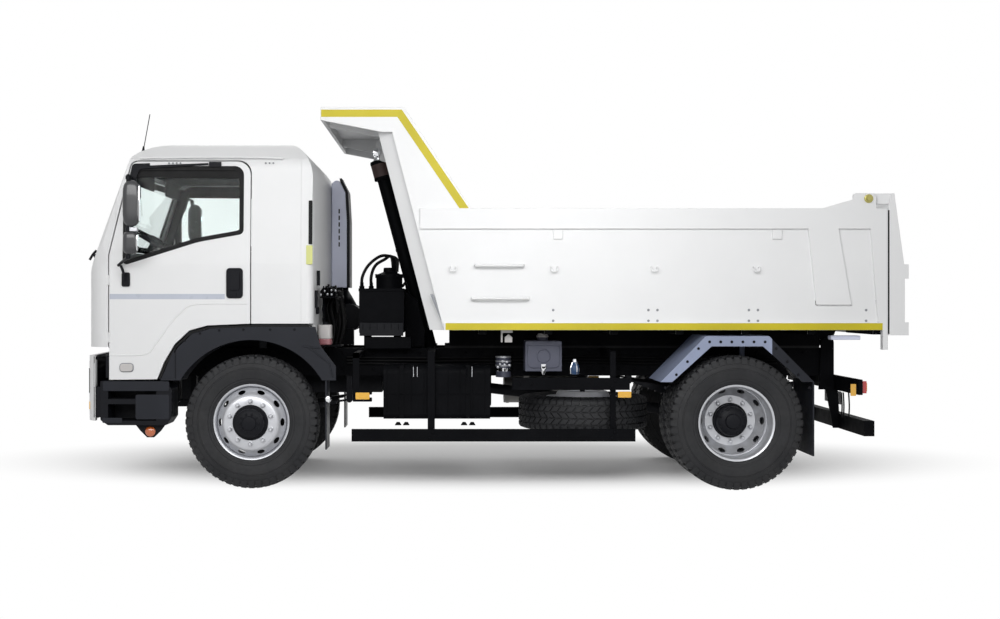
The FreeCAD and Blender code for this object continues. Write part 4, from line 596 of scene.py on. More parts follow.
def wheel_mesh(dish, name, hole_span):
    """Steel rim and dished disc with hand holes."""
    disc, holes = bmesh.new(), bmesh.new()
    lathe(disc, dish, Vector(), -Y, 120, closed=True)
    for i in range(STUDS):
        angle = 2 * math.pi * (i + 0.5) / STUDS + math.pi / 2
        centre = Vector((HAND_HOLE_CIRCLE * math.cos(angle), 0, HAND_HOLE_CIRCLE * math.sin(angle)))
        turn = Matrix.Translation(centre) @ Matrix.Rotation(-angle, 4, "Y")
        hole = bmesh.new()
        turned(hole, [(hole_span[0], 1), (hole_span[1], 1)], Vector(), -Y, 24)
        bmesh.ops.transform(hole, verts=hole.verts, matrix=turn @ Matrix.Diagonal((0.0155, 1, 0.031, 1)))
        part = bpy.data.meshes.new("hole")
        hole.to_mesh(part)
        hole.free()
        holes.from_mesh(part)
    bm = bmesh.new()
    bm.from_mesh(punched(disc, holes, name))
    e, f, b, w = RIM_HALF, FLANGE, BEAD, RIM_WELL
    section = [
        (e, f), (e - 0.005, f), (e - 0.014, f - 0.002), (e - 0.017, b), (e - 0.032, b - 0.002), (e - 0.05, w),
        (e - 0.09, w - 0.003), (-e + 0.09, w - 0.003), (-e + 0.05, w), (-e + 0.032, b - 0.002),
        (-e + 0.017, b), (-e + 0.014, f - 0.002), (-e, f), (-e + 0.003, b + 0.004), (-e + 0.012, b - 0.008),
        (-e + 0.05, w - 0.007), (e - 0.05, w - 0.007), (e - 0.03, b - 0.010), (e - 0.008, b - 0.004),
        (e - 0.0015, b + 0.004),
    ]
    lathe(bm, section, Vector(), -Y, 120, closed=True)
    return mesh_of(bm, name, 30)


def wheels():
    """All tyres and wheels in detail, in place of the plain turned ones."""
    tyre = tyre_mesh()
    front = wheel_mesh(FRONT_DISC, "front_disc", (0.02, 0.2))
    rear = wheel_mesh(REAR_DISC, "rear_disc", (-0.19, -0.02))
    for side, label in SIDES:
        body = "front_wheel_" + label
        place = turned_about(node_centre("front_tyre_" + label), side)
        piece("tyre_front_" + label, tyre, "tyre", body, place, nodes=("front_tyre_" + label,))
        piece("wheel_front_" + label, front, "silver_paint", body, place, nodes=("front_wheel_" + label,))
        made("nuts_front_" + label, "silver_paint", body, (nuts, 0.178), place=place)
        made("hub_front_" + label, "black_plastic", body, (turned, FRONT_HUB, Vector(), -Y, 72),
             *bolts(around(10, 0.073, 0.2595), -Y, 0.008, 0.008), place=place)

        body = "rear_wheels_" + label
        middle = node_centre("rear_tyres_" + label)
        for twin, offset, turn, covers in (("outer", 0.165, side, ("rear_tyres_", "rear_wheels_")),
                                           ("inner", -0.165, -side, ())):
            place = turned_about(middle + Y * side * offset, turn)
            for kind, mesh, look, covered in (("tyre", tyre, "tyre", covers[:1]),
                                              ("wheel", rear, "silver_paint", covers[1:])):
                piece("%s_rear_%s_%s" % (kind, twin, label), mesh, look, body, place,
                      nodes=[node + label for node in covered])
        place = turned_about(middle, side)
        made("nuts_rear_" + label, "silver_paint", body, (nuts, 0.0135), place=place)
        made("hub_rear_" + label, "black_plastic", body, (turned, REAR_HUB, Vector(), -Y, 72),
             *bolts(around(8, 0.1, 0.13, math.pi / 8), -Y, 0.009, 0.01), place=place)


wheels()


# ---- cab: side trim is built flat as (x, distance out from the skin, z), then put on either side ----

CAB_HALF = 1.130
WAIST_Z = 1.766
LEAN_IN = 0.042 / 0.817
WINDOW = plan([(-995, 1768, 20), (-995, 2250), (-898, 2525, 60), (-72, 2525, 60), (-72, 2012, 30),
               (-420, 1950, 900)])
DOOR_FRAME = plan([(-975, 1790, 20), (-975, 2245), (-885, 2505, 50), (-95, 2505, 50), (-95, 2035, 30),
                   (-420, 1972, 900)])
DOOR_CREASE = ((-30, 1455), (-439, 1449), (-560, 1375), (-644, 1284), (-747, 1140), (-829, 1060),
               (-1096, 1049))
SCREEN = [(-0.985, 1.895, 0.09), (-0.94, 2.515, 0.09), (0.94, 2.515, 0.09), (0.985, 1.895, 0.09)]
ARCH = [Vector(point) for point in plan([(-712, 862), (-660, 986), (-578, 1121), (-466, 1224), (-332, 1260),
                                         (0, 1274), (480, 1274)])]


def on_cab(side):
    """Fit that moves a flat-built mesh onto the cab's side, which leans in above the waist."""
    def fit(bm):
        for vertex in bm.verts:
            skin = CAB_HALF - LEAN_IN * max(0, vertex.co.z - WAIST_Z)
            vertex.co.y = side * (skin + vertex.co.y)
        return bm
    return fit


def cab_side_trim():
    """Window seals and frames, visor, handle, stripe, crease, lamp and card of each door; corner strips."""
    on_both(
        on_cab,
        ("window_seal", "rubber", "door", 0, (ring, WINDOW, -0.022, "y", -0.004, 0.004),
         (ring, WINDOW, 0.012, "y", -0.03, 0.002)),
        ("window_header", "rubber", "door", 0,
         (prism, plan([(-905, 2448), (-890, 2522, 30), (-80, 2522, 30), (-80, 2440)]), "y", -0.02, -0.008)),
        ("rain_visor", "black_plastic", "door", 0.003,
         (prism, plan([(-968, 2330), (-925, 2535, 40), (-340, 2560), (-340, 2545), (-880, 2512, 40),
                       (-940, 2320)]), "y", 0.002, 0.016),
         (prism, plate(-335, -238, 2528, 2570, 4), "y", 0.0, 0.014)),
        ("pillar_shield", "black_plastic", "door", 0.003,
         (prism, plan([(-970, 2404), (-938, 2556, 30), (-800, 2560), (-800, 2522), (-885, 2526),
                       (-985, 2250), (-995, 2180), (-1004, 2240)]), "y", 0.0, 0.006)),
        ("door_handle", "black_plastic", "door", 0.004,
         (prism, plate(-194, -63, 1496, 1734, 28), "y", 0.0, 0.012)),
        ("door_grip", "black_plastic", "door", 0.003,
         (prism, plate(-172, -88, 1560, 1712, 18), "y", 0.012, 0.022),
         (prism, plate(-150, -110, 1512, 1548, 14), "y", 0.012, 0.018)),
        ("door_stripe", "sky_stripe", "door", 0, (prism, plate(-1108, -206, 1490, 1531), "y", 0.0, 0.0012)),
        ("door_crease", "white_paint", "door", 0.002,
         (pipe, [at(x, -4, z) for x, z in DOOR_CREASE], 0.009, 8)),
        ("side_lamp_rim", "trim_grey", "door", 0.002,
         (prism, plate(-1030, -919, 918, 990, 26), "y", 0.0, 0.006)),
        ("side_lamp", "bottle", "door", 0.004, (prism, plate(-1024, -925, 924, 984, 22), "y", 0.004, 0.016)),
        ("door_card", "dash_plastic", "door", 0.01,
         (prism, plan([(-1085, 1310, 30), (-1085, 1735, 20), (-440, 1915, 60), (-60, 1985, 20),
                       (-60, 1330, 30)]), "y", -0.058, -0.043),
         (prism, plan([(-700, 1600, 40), (-700, 1700, 40), (-150, 1740, 40), (-150, 1640, 40)]), "y",
          -0.1, -0.055)),
        ("roof_gutter", "white_paint", "cab", 0.004,
         (pipe, [at(-880, 0, 2600), at(-500, 0, 2606), at(0, 0, 2606), at(250, 0, 2598)], 0.008, 8)),
        ("corner_strip", "rubber", "cab", 0.002, (prism, plate(450, 480, 1920, 2265, 6), "y", 0.0, 0.008)),
        ("corner_marker", "pale_yellow", "cab", 0.002,
         (prism, plate(432, 482, 1762, 1912, 6), "y", 0.0, 0.007)),
        ("gutter_bolts", "trim_grey", "cab", 0,
         *bolts([at(x, 0, 2560) for x in (-650, -620, -590, -560, 110, 140, 170)], Y, 0.006, 0.004)),
        ("door_frame_lining", "pillar_grey", "door", 0, (ring, DOOR_FRAME, 0.045, "y", -0.078, -0.046)),
        ("mirror_bracket", "black_plastic", "door", 0.002,
         (prism, plate(-1012, -948, 1588, 1700, 14), "y", 0.0, 0.014),
         (pipe, [at(-985, 30, 1640), at(-990, 48, 1700), at(-1010, 44, 1752)], 0.011, 10),
         *bolts([at(-980, 13, 1606), at(-980, 13, 1682)], Y, 0.009, 0.007)),
    )


def front_of(skin, y, z, lift=0.0):
    """Point on the skin seen from the front, moved forward by lift."""
    return skin.ray_cast(Vector((-10, y, z)), X)[0] - X * lift


def cab_front_trim():
    """Windscreen seal and band, wipers, cowl, grille and the lower face's openings."""
    skin = skin_of("cab_front", "cab_glass", "cab_roof", "cab_sides", "door_left", "door_right")
    inner = [(y * 0.988, z + (0.012 if z < 2 else -0.012), r) for y, z, r in SCREEN]
    for name, look, *steps in (
            ("windscreen_seal", "rubber", (ring, SCREEN, 0.024, "x", -0.003, 0.005),
             (ring, SCREEN, -0.006, "x", -0.003, 0.003)),
            ("windscreen_band", "rubber", (ring, inner, -0.05, "x", 0.0008, 0.0022)),
            ("wiper_cowl", "black_plastic", (slab, (-1.03, 1.03), (1.808, 1.866), -0.002, 0.006, "x", 40, 2)),
            ("grille_back", "rubber", (slab, (-0.74, 0.74), (1.185, 1.475), -0.004, 0.003, "x", 40, 4)),
            ("grille_slats", "black_plastic",
             *[(slab, (-0.73, 0.73), (1.195 + row * 0.048, 1.219 + row * 0.048), 0.0, 0.014, "x", 40, 1)
               for row in range(6)],
             *[(slab, (y, y + 0.022), (1.185, 1.475), 0.0, 0.017, "x", 2, 4)
               for y in (-0.74, -0.25, 0.25, 0.718)]),
            ("grille_frame", "white_paint",
             (ring, rect(-0.75, 0.75, 1.175, 1.485, 0.03), 0.022, "x", -0.002, 0.012)),
            ("nose_slot", "rubber", (slab, (-0.5, 0.5), (1.575, 1.60), 0.0, 0.004, "x", 24, 1),
             (slab, (-1.0, 1.0), (1.735, 1.741), 0.0, 0.002, "x", 40, 1))):
        made(name, look, "cab", *steps, fit=draped(skin, "x", -1))
    steps = []
    for pivot, tip in (((-0.93, 1.835), (-0.28, 1.955)), ((-0.12, 1.835), (0.52, 1.955))):
        middle = ((pivot[0] + tip[0]) / 2, (pivot[1] + tip[1]) / 2 + 0.012)
        for (y0, z0), (y1, z1), lift, radius in (
                (pivot, middle, 0.03, 0.007), ((pivot[0] + 0.02, pivot[1] + 0.075), tip, 0.012, 0.006)):
            points = [front_of(skin, y0 + (y1 - y0) * i / 8, z0 + (z1 - z0) * i / 8, lift) for i in range(9)]
            steps.append((pipe, points, radius, 8, 2))
        steps.append((turned, [(-0.01, 0.02), (0.03, 0.018), (0.04, 0.012)], front_of(skin, *pivot), -X, 20))
    for side in (-1, 1):
        base = front_of(skin, side * 1.03, 1.83)
        steps.append((pipe, [base + Vector((0.004, 0, 0.045)), base + Vector((-0.02, side * 0.012, 0.015)),
                             base + Vector((-0.045, side * 0.02, -0.03))], 0.010, 10))
    made("wipers", "black_plastic", "cab", *steps)


def bumper_trim():
    """Lamps, plate, dark inserts and seams of the bumper, and the dark corner behind it."""
    bumper = skin_of("bumper", "headlamps")
    on_front = draped(bumper, "x", -1)
    for side, label in SIDES:
        made("bumper_side_" + label, "black_plastic", "chassis",
             (slab, (FRONT_X - 1.243, FRONT_X - 1.151), (0.56, 1.04), -0.001, 0.005, "y", 4, 8),
             (slab, (FRONT_X - 1.322, FRONT_X - 1.297), (0.60, 1.0), -0.001, 0.004, "y", 3, 12),
             fit=draped(bumper, "y", side))
        made("bumper_corner_" + label, "black_plastic", "chassis",
             (block, at(-1149, side * 1040, 870), at(-1126, side * 1088, 1045)), bevel=0.004)
        made("lamp_bezel_" + label, "black_plastic", "chassis",
             (ring, rect(side * 0.63, side * 1.01, 0.748, 0.942, 0.02), 0.016 * -side, "x", -0.002, 0.006),
             fit=on_front)
        made("lamp_bowl_" + label, "chrome", "chassis",
             *[(lathe, [(0.0, r), (0.012, r * 0.9), (0.028, r * 0.55), (0.034, 0.012), (0.03, 0.012),
                        (0.024, r * 0.5), (0.008, r * 0.86), (-0.002, r)],
                front_of(bumper, side * y, 0.845, -0.004), X, 40) for y, r in ((0.73, 0.07), (0.895, 0.062))])
        made("bumper_indicator_" + label, "amber", "chassis",
             (slab, (side * 0.93, side * 1.02), (0.62, 0.68), 0.0, 0.006, "x", 6, 2), fit=on_front)
    made("bumper_intake", "rubber", "chassis", (slab, (-0.56, 0.56), (0.60, 0.70), -0.004, 0.001, "x", 20, 2),
         (slab, (-0.56, 0.56), (0.79, 0.90), -0.004, 0.001, "x", 20, 2), fit=on_front)
    made("front_plate", "white_paint", "chassis",
         (slab, (-0.26, 0.26), (0.575, 0.685), -0.0015, 0.0025, "x", 8, 2), fit=on_front)


def capsule(bm, centre, half, z0, z1, levels=18, count=40):
    """Adds an upright housing with a rounded plan that draws in at both ends."""
    rings = []
    for i in range(levels + 1):
        t = 0.5 - 0.5 * math.cos(math.pi * i / levels)
        grow = max(0.05, (1 - abs(2 * t - 1) ** 5) ** 0.45)
        corners = []
        for k in range(count):
            angle = 2 * math.pi * k / count
            u, v = (math.copysign(abs(c) ** 0.75, c) * grow for c in (math.cos(angle), math.sin(angle)))
            corners.append(bm.verts.new((centre.x + half[0] * u, centre.y + half[1] * v, z0 + (z1 - z0) * t)))
        rings.append(corners)
    bridge(bm, *rings, ends=True)


def mirrors():
    """Mirror housings, tubes and arms, and their glass and clamps."""
    for side, label in SIDES:
        made("mirror_housing_" + label, "mirror_shell", "door_" + label,
             (capsule, at(-889, 1345, 0), (0.067, 0.032), 2.046, 2.404),
             (capsule, at(-896, 1345, 0), (0.058, 0.032), 1.832, 2.012),
             fit=sided()(side), nodes=("mirror_" + label,))
    back = FRONT_X - 0.956
    on_both(
        sided(),
        ("mirror_arms", "black_plastic", "door", 0,
         (pipe, [at(-916, 1345, 1800), at(-916, 1345, 2446)], 0.013, 12, 1),
         (pipe, [at(-916, 1340, 1810), at(-976, 1220, 1790), at(-1040, 1125, 1755)], 0.012, 12),
         (pipe, [at(-916, 1340, 2440), at(-926, 1200, 2445), at(-945, 1090, 2440)], 0.012, 12)),
        ("mirror_joint", "silver_paint", "door", 0.004, (block, at(-901, 1325, 2010), at(-841, 1365, 2040))),
        ("mirror_glass", "mirror_glass", "door", 0,
         *[(prism, rect(1.323, 1.367, z0, z1, 0.012), "x", back + deep - 0.006, back + deep + 0.0015)
           for z0, z1, deep in ((2.085, 2.365, 0.134), (1.862, 1.985, 0.117))]),
        ("mirror_clamps", "black_plastic", "door", 0.002,
         *[(turned, [(0, 0.019), (0.028, 0.019)], at(-916, 1340, z), Z, 20) for z in (2010, 2411, 1801)]),
    )


def steps_and_arches():
    """Step treads, low marker lamps, the flares' lips, patches and bolts."""
    lip = []
    for first, second in zip(ARCH, ARCH[1:]):
        along = (second - first).normalized()
        up = Vector((-along.y, along.x)) * 0.013
        lip.append((prism, [first, second, second + up, first + up], "y", -0.011, -0.001))
    on_both(
        sided(CAB_HALF),
        ("arch_lip", "rubber", "chassis", 0, *lip),
        ("arch_patch", "fender", "chassis", 0,
         (prism, plan([(-602, 1096), (-602, 872), (-700, 872), (-652, 990)]), "y", 0.0, 0.002)),
        ("arch_bolts", "black_plastic", "chassis", 0, (block, at(-594, 0, 866), at(-589, 3, 1118)),
         *bolts([at(x, 0, z) for x, z in ((-520, 1165), (-400, 1222), (-250, 1246), (-60, 1252), (150, 1252),
                                          (340, 1252))], Y, 0.008, 0.006)),
        ("step_treads", "black_frame", "chassis", 0,
         *[(block, at(-1110, -8 - i * 26, z), at(-750, -22 - i * 26, z + 6)) for z in (537, 707)
           for i in range(7)]),
        ("step_skins", "fender", "chassis", 0.002,
         (prism, plate(-905, -640, 548, 742, 16), "y", -0.002, 0.003),
         (prism, plate(-1165, -1010, 520, 560, 10), "y", -0.002, 0.003),
         (prism, plate(-1160, -640, 770, 846, 12), "y", -0.002, 0.004)),
        ("step_lamp_bracket", "black_plastic", "chassis", 0.003,
         (prism, plan([(-925, 505, 6), (-682, 505, 6), (-720, 452, 10), (-775, 400, 12), (-830, 400, 12),
                       (-885, 455, 10)]), "y", -0.085, -0.068)),
        ("step_lamp", "orange", "chassis", 0,
         (lathe, [(0, 0), (0, 0.04), (0.008, 0.04), (0.018, 0.03), (0.022, 0.012), (0.023, 0)],
          at(-803, -70, 447), Y, 32)),
        ("flap_lamp", "chrome", "chassis", 0,
         (lathe, [(-0.03, 0), (-0.03, 0.02), (-0.012, 0.028), (0.01, 0.024), (0.022, 0.012), (0.025, 0)],
          at(600, -30, 700), -Z, 24)),
        ("flap_stay", "fender", "chassis", 0,
         (pipe, [at(590, -30, 720), at(588, -30, 820), at(580, -40, 890)], 0.008, 8),
         *[(pipe, [at(x0, 2, z0), at(x1, 2, z1)], 0.006, 8, 1) for x0, z0, x1, z1 in (
             (404, 1120, 540, 1105), (430, 1128, 612, 990), (612, 990, 640, 880))]),
    )


def roof_and_back():
    """Roof ribs, intake duct and its black edge, fittings on the back and the antenna."""
    roof = skin_of("cab_roof", "cab_sides", "cab_back", "cab_front")
    made("roof_ribs", "white_paint", "cab",
         *[(slab, (FRONT_X - 0.68, FRONT_X + 0.16), (y - 0.03, y + 0.03), -0.002, 0.004, "z", 12, 3)
           for y in (-0.62, -0.31, 0, 0.31, 0.62)], fit=draped(roof, "z", 1))
    low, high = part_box("snorkel")
    # the duct is white; its lilac colour is painted shade
    made("intake_duct", "lilac", "cab",
         (prism, plan([(487, 1597), (487, 2540), (547, 2594, 40), (615, 2460, 60), (629, 2200),
                       (629, 1597, 12)]), "y", low.y, high.y), bevel=0.012, nodes=("snorkel",))
    made("intake_edge", "black_plastic", "cab",
         (prism, plan([(619, 1599), (619, 2200), (605, 2470, 60), (553, 2585, 20), (577, 2588, 20),
                       (637, 2470, 60), (652, 2200), (652, 1599)]), "y", low.y + 0.004, high.y - 0.004),
         *[(block, at(551, low.y * 1000 - 0.5, z), at(563, high.y * 1000, z + 40))
           for z in range(1970, 2271, 60)], bevel=0.003)
    made("back_fittings", "black_plastic", "cab", (block, at(489, -860, 1600), at(515, -840, 1720)),
         (block, at(489, -1020, 1420), at(510, -980, 1560)),
         *[(turned, [(0, 0.03), (0.02, 0.03), (0.024, 0.024)], at(487, y, 1400), X, 20) for y in (-900, 900)],
         bevel=0.002)
    foot = roof.ray_cast(at(-905, -860, 3600), -Z)[0]
    tip = foot + Vector((0.055, 0, 2.975 - foot.z))
    made("antenna", "black_plastic", "cab",
         (pipe, [foot - Vector((0.004, 0, 0.02)), foot.lerp(tip, 0.5), tip], 0.0035, 8, 1),
         (turned, [(-0.01, 0.016), (0.012, 0.012), (0.05, 0.006)], foot, Vector((0.1, 0, 1)), 16))


def cab_inside():
    """Dark linings, sun visors, and the steering wheel's and dashboard's details."""
    steps = [(block, at(-905, -1030, 2556), at(380, 1030, 2568)),
             (prism, plan([(-955, 2528), (-905, 2556), (-905, 2568), (-958, 2540)]), "y", -0.93, 0.93),
             (prism, plan([(380, 2556), (380, 2568), (430, 2470), (420, 2462)]), "y", -1.03, 1.03),
             (block, at(420, -1030, 1250), at(430, 1030, 2464))]
    for side in (-1, 1):
        steps.append((block, at(20, side * 1055, 1250), at(418, side * 1080, 1760)))
        steps.append((prism, plan([(20, 1760), (20, 2556), (375, 2556), (418, 2462), (418, 1760)]), "y",
                      *sorted((side * 1.018, side * 1.030))))
    made("cab_lining", "pillar_grey", "cab", *steps)
    made("pillar_lining", "pillar_grey", "cab",
         *[(pipe, [at(-1112, side * 1040, 1790), at(-1062, side * 1020, 2060), at(-985, side * 1000, 2300),
                   at(-925, side * 985, 2510)], 0.040, 12) for side in (-1, 1)])
    on_both(sided(), ("sun_visor", "dash_plastic", "cab", 0.004,
                      (prism, [(0.25, 2.40, 0.02), (0.25, 2.545), (0.85, 2.545), (0.85, 2.40, 0.02)], "x",
                       FRONT_X - 0.955, FRONT_X - 0.94)))
    centre = at(-850, -660, 1960)
    tilt = Vector((0.5, 0, 0.87)).normalized()
    ahead = tilt.cross(Y)
    stalk = centre - tilt * 0.11
    steps = [(lathe, [(-0.03, 0), (-0.03, 0.05), (0.0, 0.078), (0.024, 0.07), (0.036, 0.045), (0.04, 0)],
              centre, tilt, 32)]
    for angle in (20, 160, 270):
        reach = Y * math.cos(math.radians(angle)) + ahead * math.sin(math.radians(angle))
        steps.append((pipe, [centre + reach * 0.05, centre + reach * 0.12 + tilt * 0.004,
                             centre + reach * 0.218], 0.014, 10))
    for way in (-1, 1):
        steps.append((pipe, [stalk, stalk + Y * way * 0.12, stalk + Y * way * 0.2 + tilt * 0.02], 0.009, 8))
    made("steering_trim", "dash_plastic", "cab", *steps)
    made("dash_vents", "rubber", "cab",
         *[(slab, (FRONT_X - 1.02 + i * 0.025, FRONT_X - 1.008 + i * 0.025), (y - 0.05, y + 0.05), 0.0, 0.006,
            "z", 2, 2) for y in (-0.95, -0.35, -0.2, 0.2, 0.35, 0.9) for i in range(4)],
         fit=draped(skin_of("dashboard"), "z", 1))
    made("dash_binnacle", "dash_plastic", "cab", (block, at(-1010, -860, 1765), at(-905, -460, 1825)),
         bevel=0.02)
    made("dash_dials", "pillar_grey", "cab",
         (prism, rect(-0.82, -0.50, 1.775, 1.815, 0.015), "x", FRONT_X - 0.906, FRONT_X - 0.901))
    made("gear_lever", "black_plastic", "cab",
         (pipe, [at(-400, -120, 1420), at(-410, -130, 1560), at(-440, -150, 1680)], 0.014, 10),
         (lathe, [(-0.03, 0), (-0.03, 0.018), (0.0, 0.03), (0.03, 0.024), (0.035, 0)], at(-445, -152, 1695),
          Vector((-0.2, -0.1, 1)), 20),
         *[(lathe, [(0, 0), (0, 0.05), (0.01, 0.05), (0.012, 0)], at(-930, y, 1330),
            Vector((0.6, 0, 0.8)), 16)
           for y in (-750, -570)])


def pad(bm, low, high, crown, channels, lean, foot):
    """Adds a crowned, channelled cushion between two corners, tilted by lean round foot."""
    size = high - low

    def place(face, u, v):
        rim = min(1, 9 * min(u, 1 - u)) ** 0.5 * min(1, 9 * min(v, 1 - v)) ** 0.5
        swell = crown * (1 - (2 * u - 1) ** 4) * (1 - (2 * v - 1) ** 4)
        dent = sum(0.012 * math.exp(-((u - c) / 0.012) ** 2) for c in channels)
        pull = 0.012 * (1 - math.sin(math.pi * v)) * ((u == 1) - (u == 0))
        height = size.z * (0.5 + (0.5 if face else -0.5) * (0.35 + 0.65 * rim))
        height += (swell - dent * rim) * (1 if face else -0.15)
        return low.x + size.x * v, low.y + size.y * u - pull, low.z + height
    twin_sheets(bm, place, 36, 36)
    if lean:
        turn = Matrix.Translation(foot) @ Matrix.Rotation(-lean, 4, "Y") @ Matrix.Translation(-foot)
        bmesh.ops.transform(bm, verts=bm.verts, matrix=turn)


def seats():
    """Two seats, each a cushion, a backrest and a headrest on a plastic base."""
    upright = math.radians(-97)
    for side, label in SIDES:
        y = side * 660
        foot = at(100, y, 1640)
        for name, low, high, crown, channels, lean in (
                ("cushion", at(-455, y - 248, 1545), at(60, y + 248, 1660), 0.02, (0.2, 0.5, 0.8), 0.0),
                ("back", at(-460, y - 245, 1620), at(100, y + 245, 1730), 0.02, (0.2, 0.8), upright),
                ("head", at(-600, y - 140, 1640), at(-465, y + 140, 1720), 0.012, (), upright)):
            covers = ("seats",) if (side, name) == (-1, "cushion") else ()
            cushion = made("seat_%s_%s" % (name, label), "seat_fabric", "cab",
                           (pad, low, high, crown, channels, lean, foot), nodes=covers)
        made("seat_base_" + label, "dash_plastic", "cab",
             (block, at(-400, y - 215, 1242), at(50, y + 215, 1500)),
             (block, at(-430, y - 235, 1500), at(70, y + 235, 1550)), bevel=0.012)


cab_side_trim()
cab_front_trim()
bumper_trim()
mirrors()
steps_and_arches()
roof_and_back()
cab_inside()
seats()


# ---- bed: side details are built flat as (x, distance out from the plane, z) ----

RAIL_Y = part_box("bed_sides")[1].y
PANEL_Y = RAIL_Y - 0.022
UNDERSIDE_Z = 1.249


def skin_piece(name, node, look, body, chosen, behind=None, lift=0.0015):
    """Thin coat of another colour over the chosen faces of a CAD node."""
    bm = bmesh.new()
    bm.from_mesh(frame["nodes"][node].data)
    bmesh.ops.delete(bm, geom=[face for face in bm.faces if not chosen(face)], context="FACES")
    if behind is not None:
        bmesh.ops.bisect_plane(bm, geom=bm.verts[:] + bm.edges[:] + bm.faces[:], plane_co=(behind, 0, 0),
                               plane_no=(1, 0, 0), clear_outer=True)
    bm.normal_update()
    for vertex in bm.verts:
        vertex.co += vertex.normal * lift
    mesh = bpy.data.meshes.new(name)
    bm.to_mesh(mesh)
    bm.free()
    piece(name, mesh, look, body)


def under_the_bed(face):
    """Whether a face of the bed's floor belongs to its dark underside."""
    return face.calc_center_median().z < UNDERSIDE_Z and face.normal.z < 0.5


def reflection_faces_of_rear_guard(face):
    """Whether a face belongs to the outside of a rear mudguard, where the painted reflection goes."""
    middle = face.calc_center_median()
    return middle.x > FRONT_X + 2 and middle.z > 0.84 and face.normal.z > -0.2


def bed_details():
    """Stripes, step rungs, rope hooks, bolts and marks on the bed's sides."""
    rungs, hooks = [], []
    for z, x0, x1 in ((1750, 1765, 2115), (1495, 1742, 2153)):
        rungs.append((pipe, [at(x0, 0, z), at(x0, 38.5, z), at(x0 + 20, 55, z), at(x1 - 20, 55, z),
                             at(x1, 38.5, z), at(x1, 0, z)], 0.011, 12, 6))
        rungs += [(turned, [(0, 0.024), (0.006, 0.024)], at(x, 0, z), Y, 20) for x in (x0, x1)]
    for x in (1582, 2367, 3143, 3935):
        hooks.append((pipe, [at(x - 22, 0, 1738), at(x - 22, 30, 1734), at(x - 18, 40, 1708),
                             at(x + 18, 40, 1708), at(x + 22, 30, 1734), at(x + 22, 0, 1738)], 0.006, 10))
    hooks += [(block, at(x, 0, 1955), at(x + 75, 16, 2030)) for x in (2359, 4060)]
    pin = at(WHEELBASE + 1013, 0, 2269)
    on_both(
        sided(RAIL_Y),
        ("foot_stripe", "yellow", "bed", 0, (prism, plate(1524, 4912, 1251, 1304), "y", 0.0, 0.0012)),
        ("gate_pin_cap", "brass", "bed", 0,
         (turned, [(0, 0.034), (0.008, 0.034), (0.01, 0.03)], pin, Y, 28),
         (bolt, pin + Y * 0.008, Y, 0.02, 0.014)),
    )
    on_both(
        sided(PANEL_Y),
        ("canopy_stripe", "yellow", "bed", 0,
         (prism, plan([(558, 2905), (558, 2962), (1185, 2962), (1706, 2196), (1632, 2196), (1150, 2905)]),
          "y", 0.0, 0.0012)),
        ("step_rungs", "white_paint", "bed", 0, *rungs),
        ("rope_hooks", "white_paint", "bed", 0.003, *hooks),
        ("panel_bolts", "trim_grey", "bed", 0,
         *bolts([at(x, 0, z) for x in (2360, 3100, 3170, 3880, 3950, 4790) for z in (1405, 1322)],
                Y, 0.008, 0.006)),
        ("rib_foot_marks", "rubber", "bed", 0,
         *[(prism, plan([(x0, 1444), (x0 - 4, 1482), (x1, 1440)]), "y", 0.0, 0.002)
           for x0, x1 in ((4398, 4412), (4664, 4676), (4868, 4884))]),
    )
    on_both(sided(PANEL_Y - 0.003),
            ("front_edge_mark", "trim_grey", "bed", 0,
             (prism, plan([(1488, 1325), (1512, 1325), (1428, 1528), (1404, 1528)]), "y", 0.0, 0.0015)))


bed_details()
skin_piece("bed_underside", "bed_floor", "black_frame", "bed", under_the_bed)
# painted reflection: blue-grey over the front slope and top of each rear mudguard, the rear slope stays black
skin_piece("rear_guard_coat", "mudguards", "rear_fender", "chassis", reflection_faces_of_rear_guard, FRONT_X + 4.06)


# ---- frame and equipment ----

RAIL_FACE = 425
SPRING_Y = 391


def band(bm, origin, axis, start, end, inner, outer, count=48):
    """Adds a flat ring round an axis."""
    lathe(bm, [(start, inner), (start, outer), (end, outer), (end, inner)], origin, axis, count, closed=True)


def frame_details():
    """Bolt rows and pipes along both rails."""
    heads, pipes = [], []
    for side in (-1, 1):
        heads += bolts([at(-1000 + i * 128, side * RAIL_FACE, z) for i in range(44) for z in (1045, 910)],
                       Y * side, 0.011, 0.01)
        pipes += [(pipe, [at(700, side * y, z), at(1500, side * (y + 6), z - 8), at(2600, side * y, z + 6),
                          at(3300, side * (y + 4), z - 4), at(4300, side * y, z)], 0.008, 8)
                  for z, y in ((1010, 445), (985, 447), (960, 445))]
    made("rail_bolts", "black_frame", "chassis", *heads)
    made("brake_pipes", "hose", "chassis", *pipes)


def spare_wheel():
    """Spare tyre and wheel lying flat under the frame."""
    place = Matrix.Translation(node_centre("spare_tyre")) @ Matrix.Rotation(math.pi / 2, 4, "X")
    for name, mesh, look in (("spare_tyre", "tyre", "tyre"), ("spare_wheel", "rear_disc", "silver_paint")):
        piece(name + "_detail", bpy.data.meshes[mesh], look, "chassis", place, nodes=(name,))


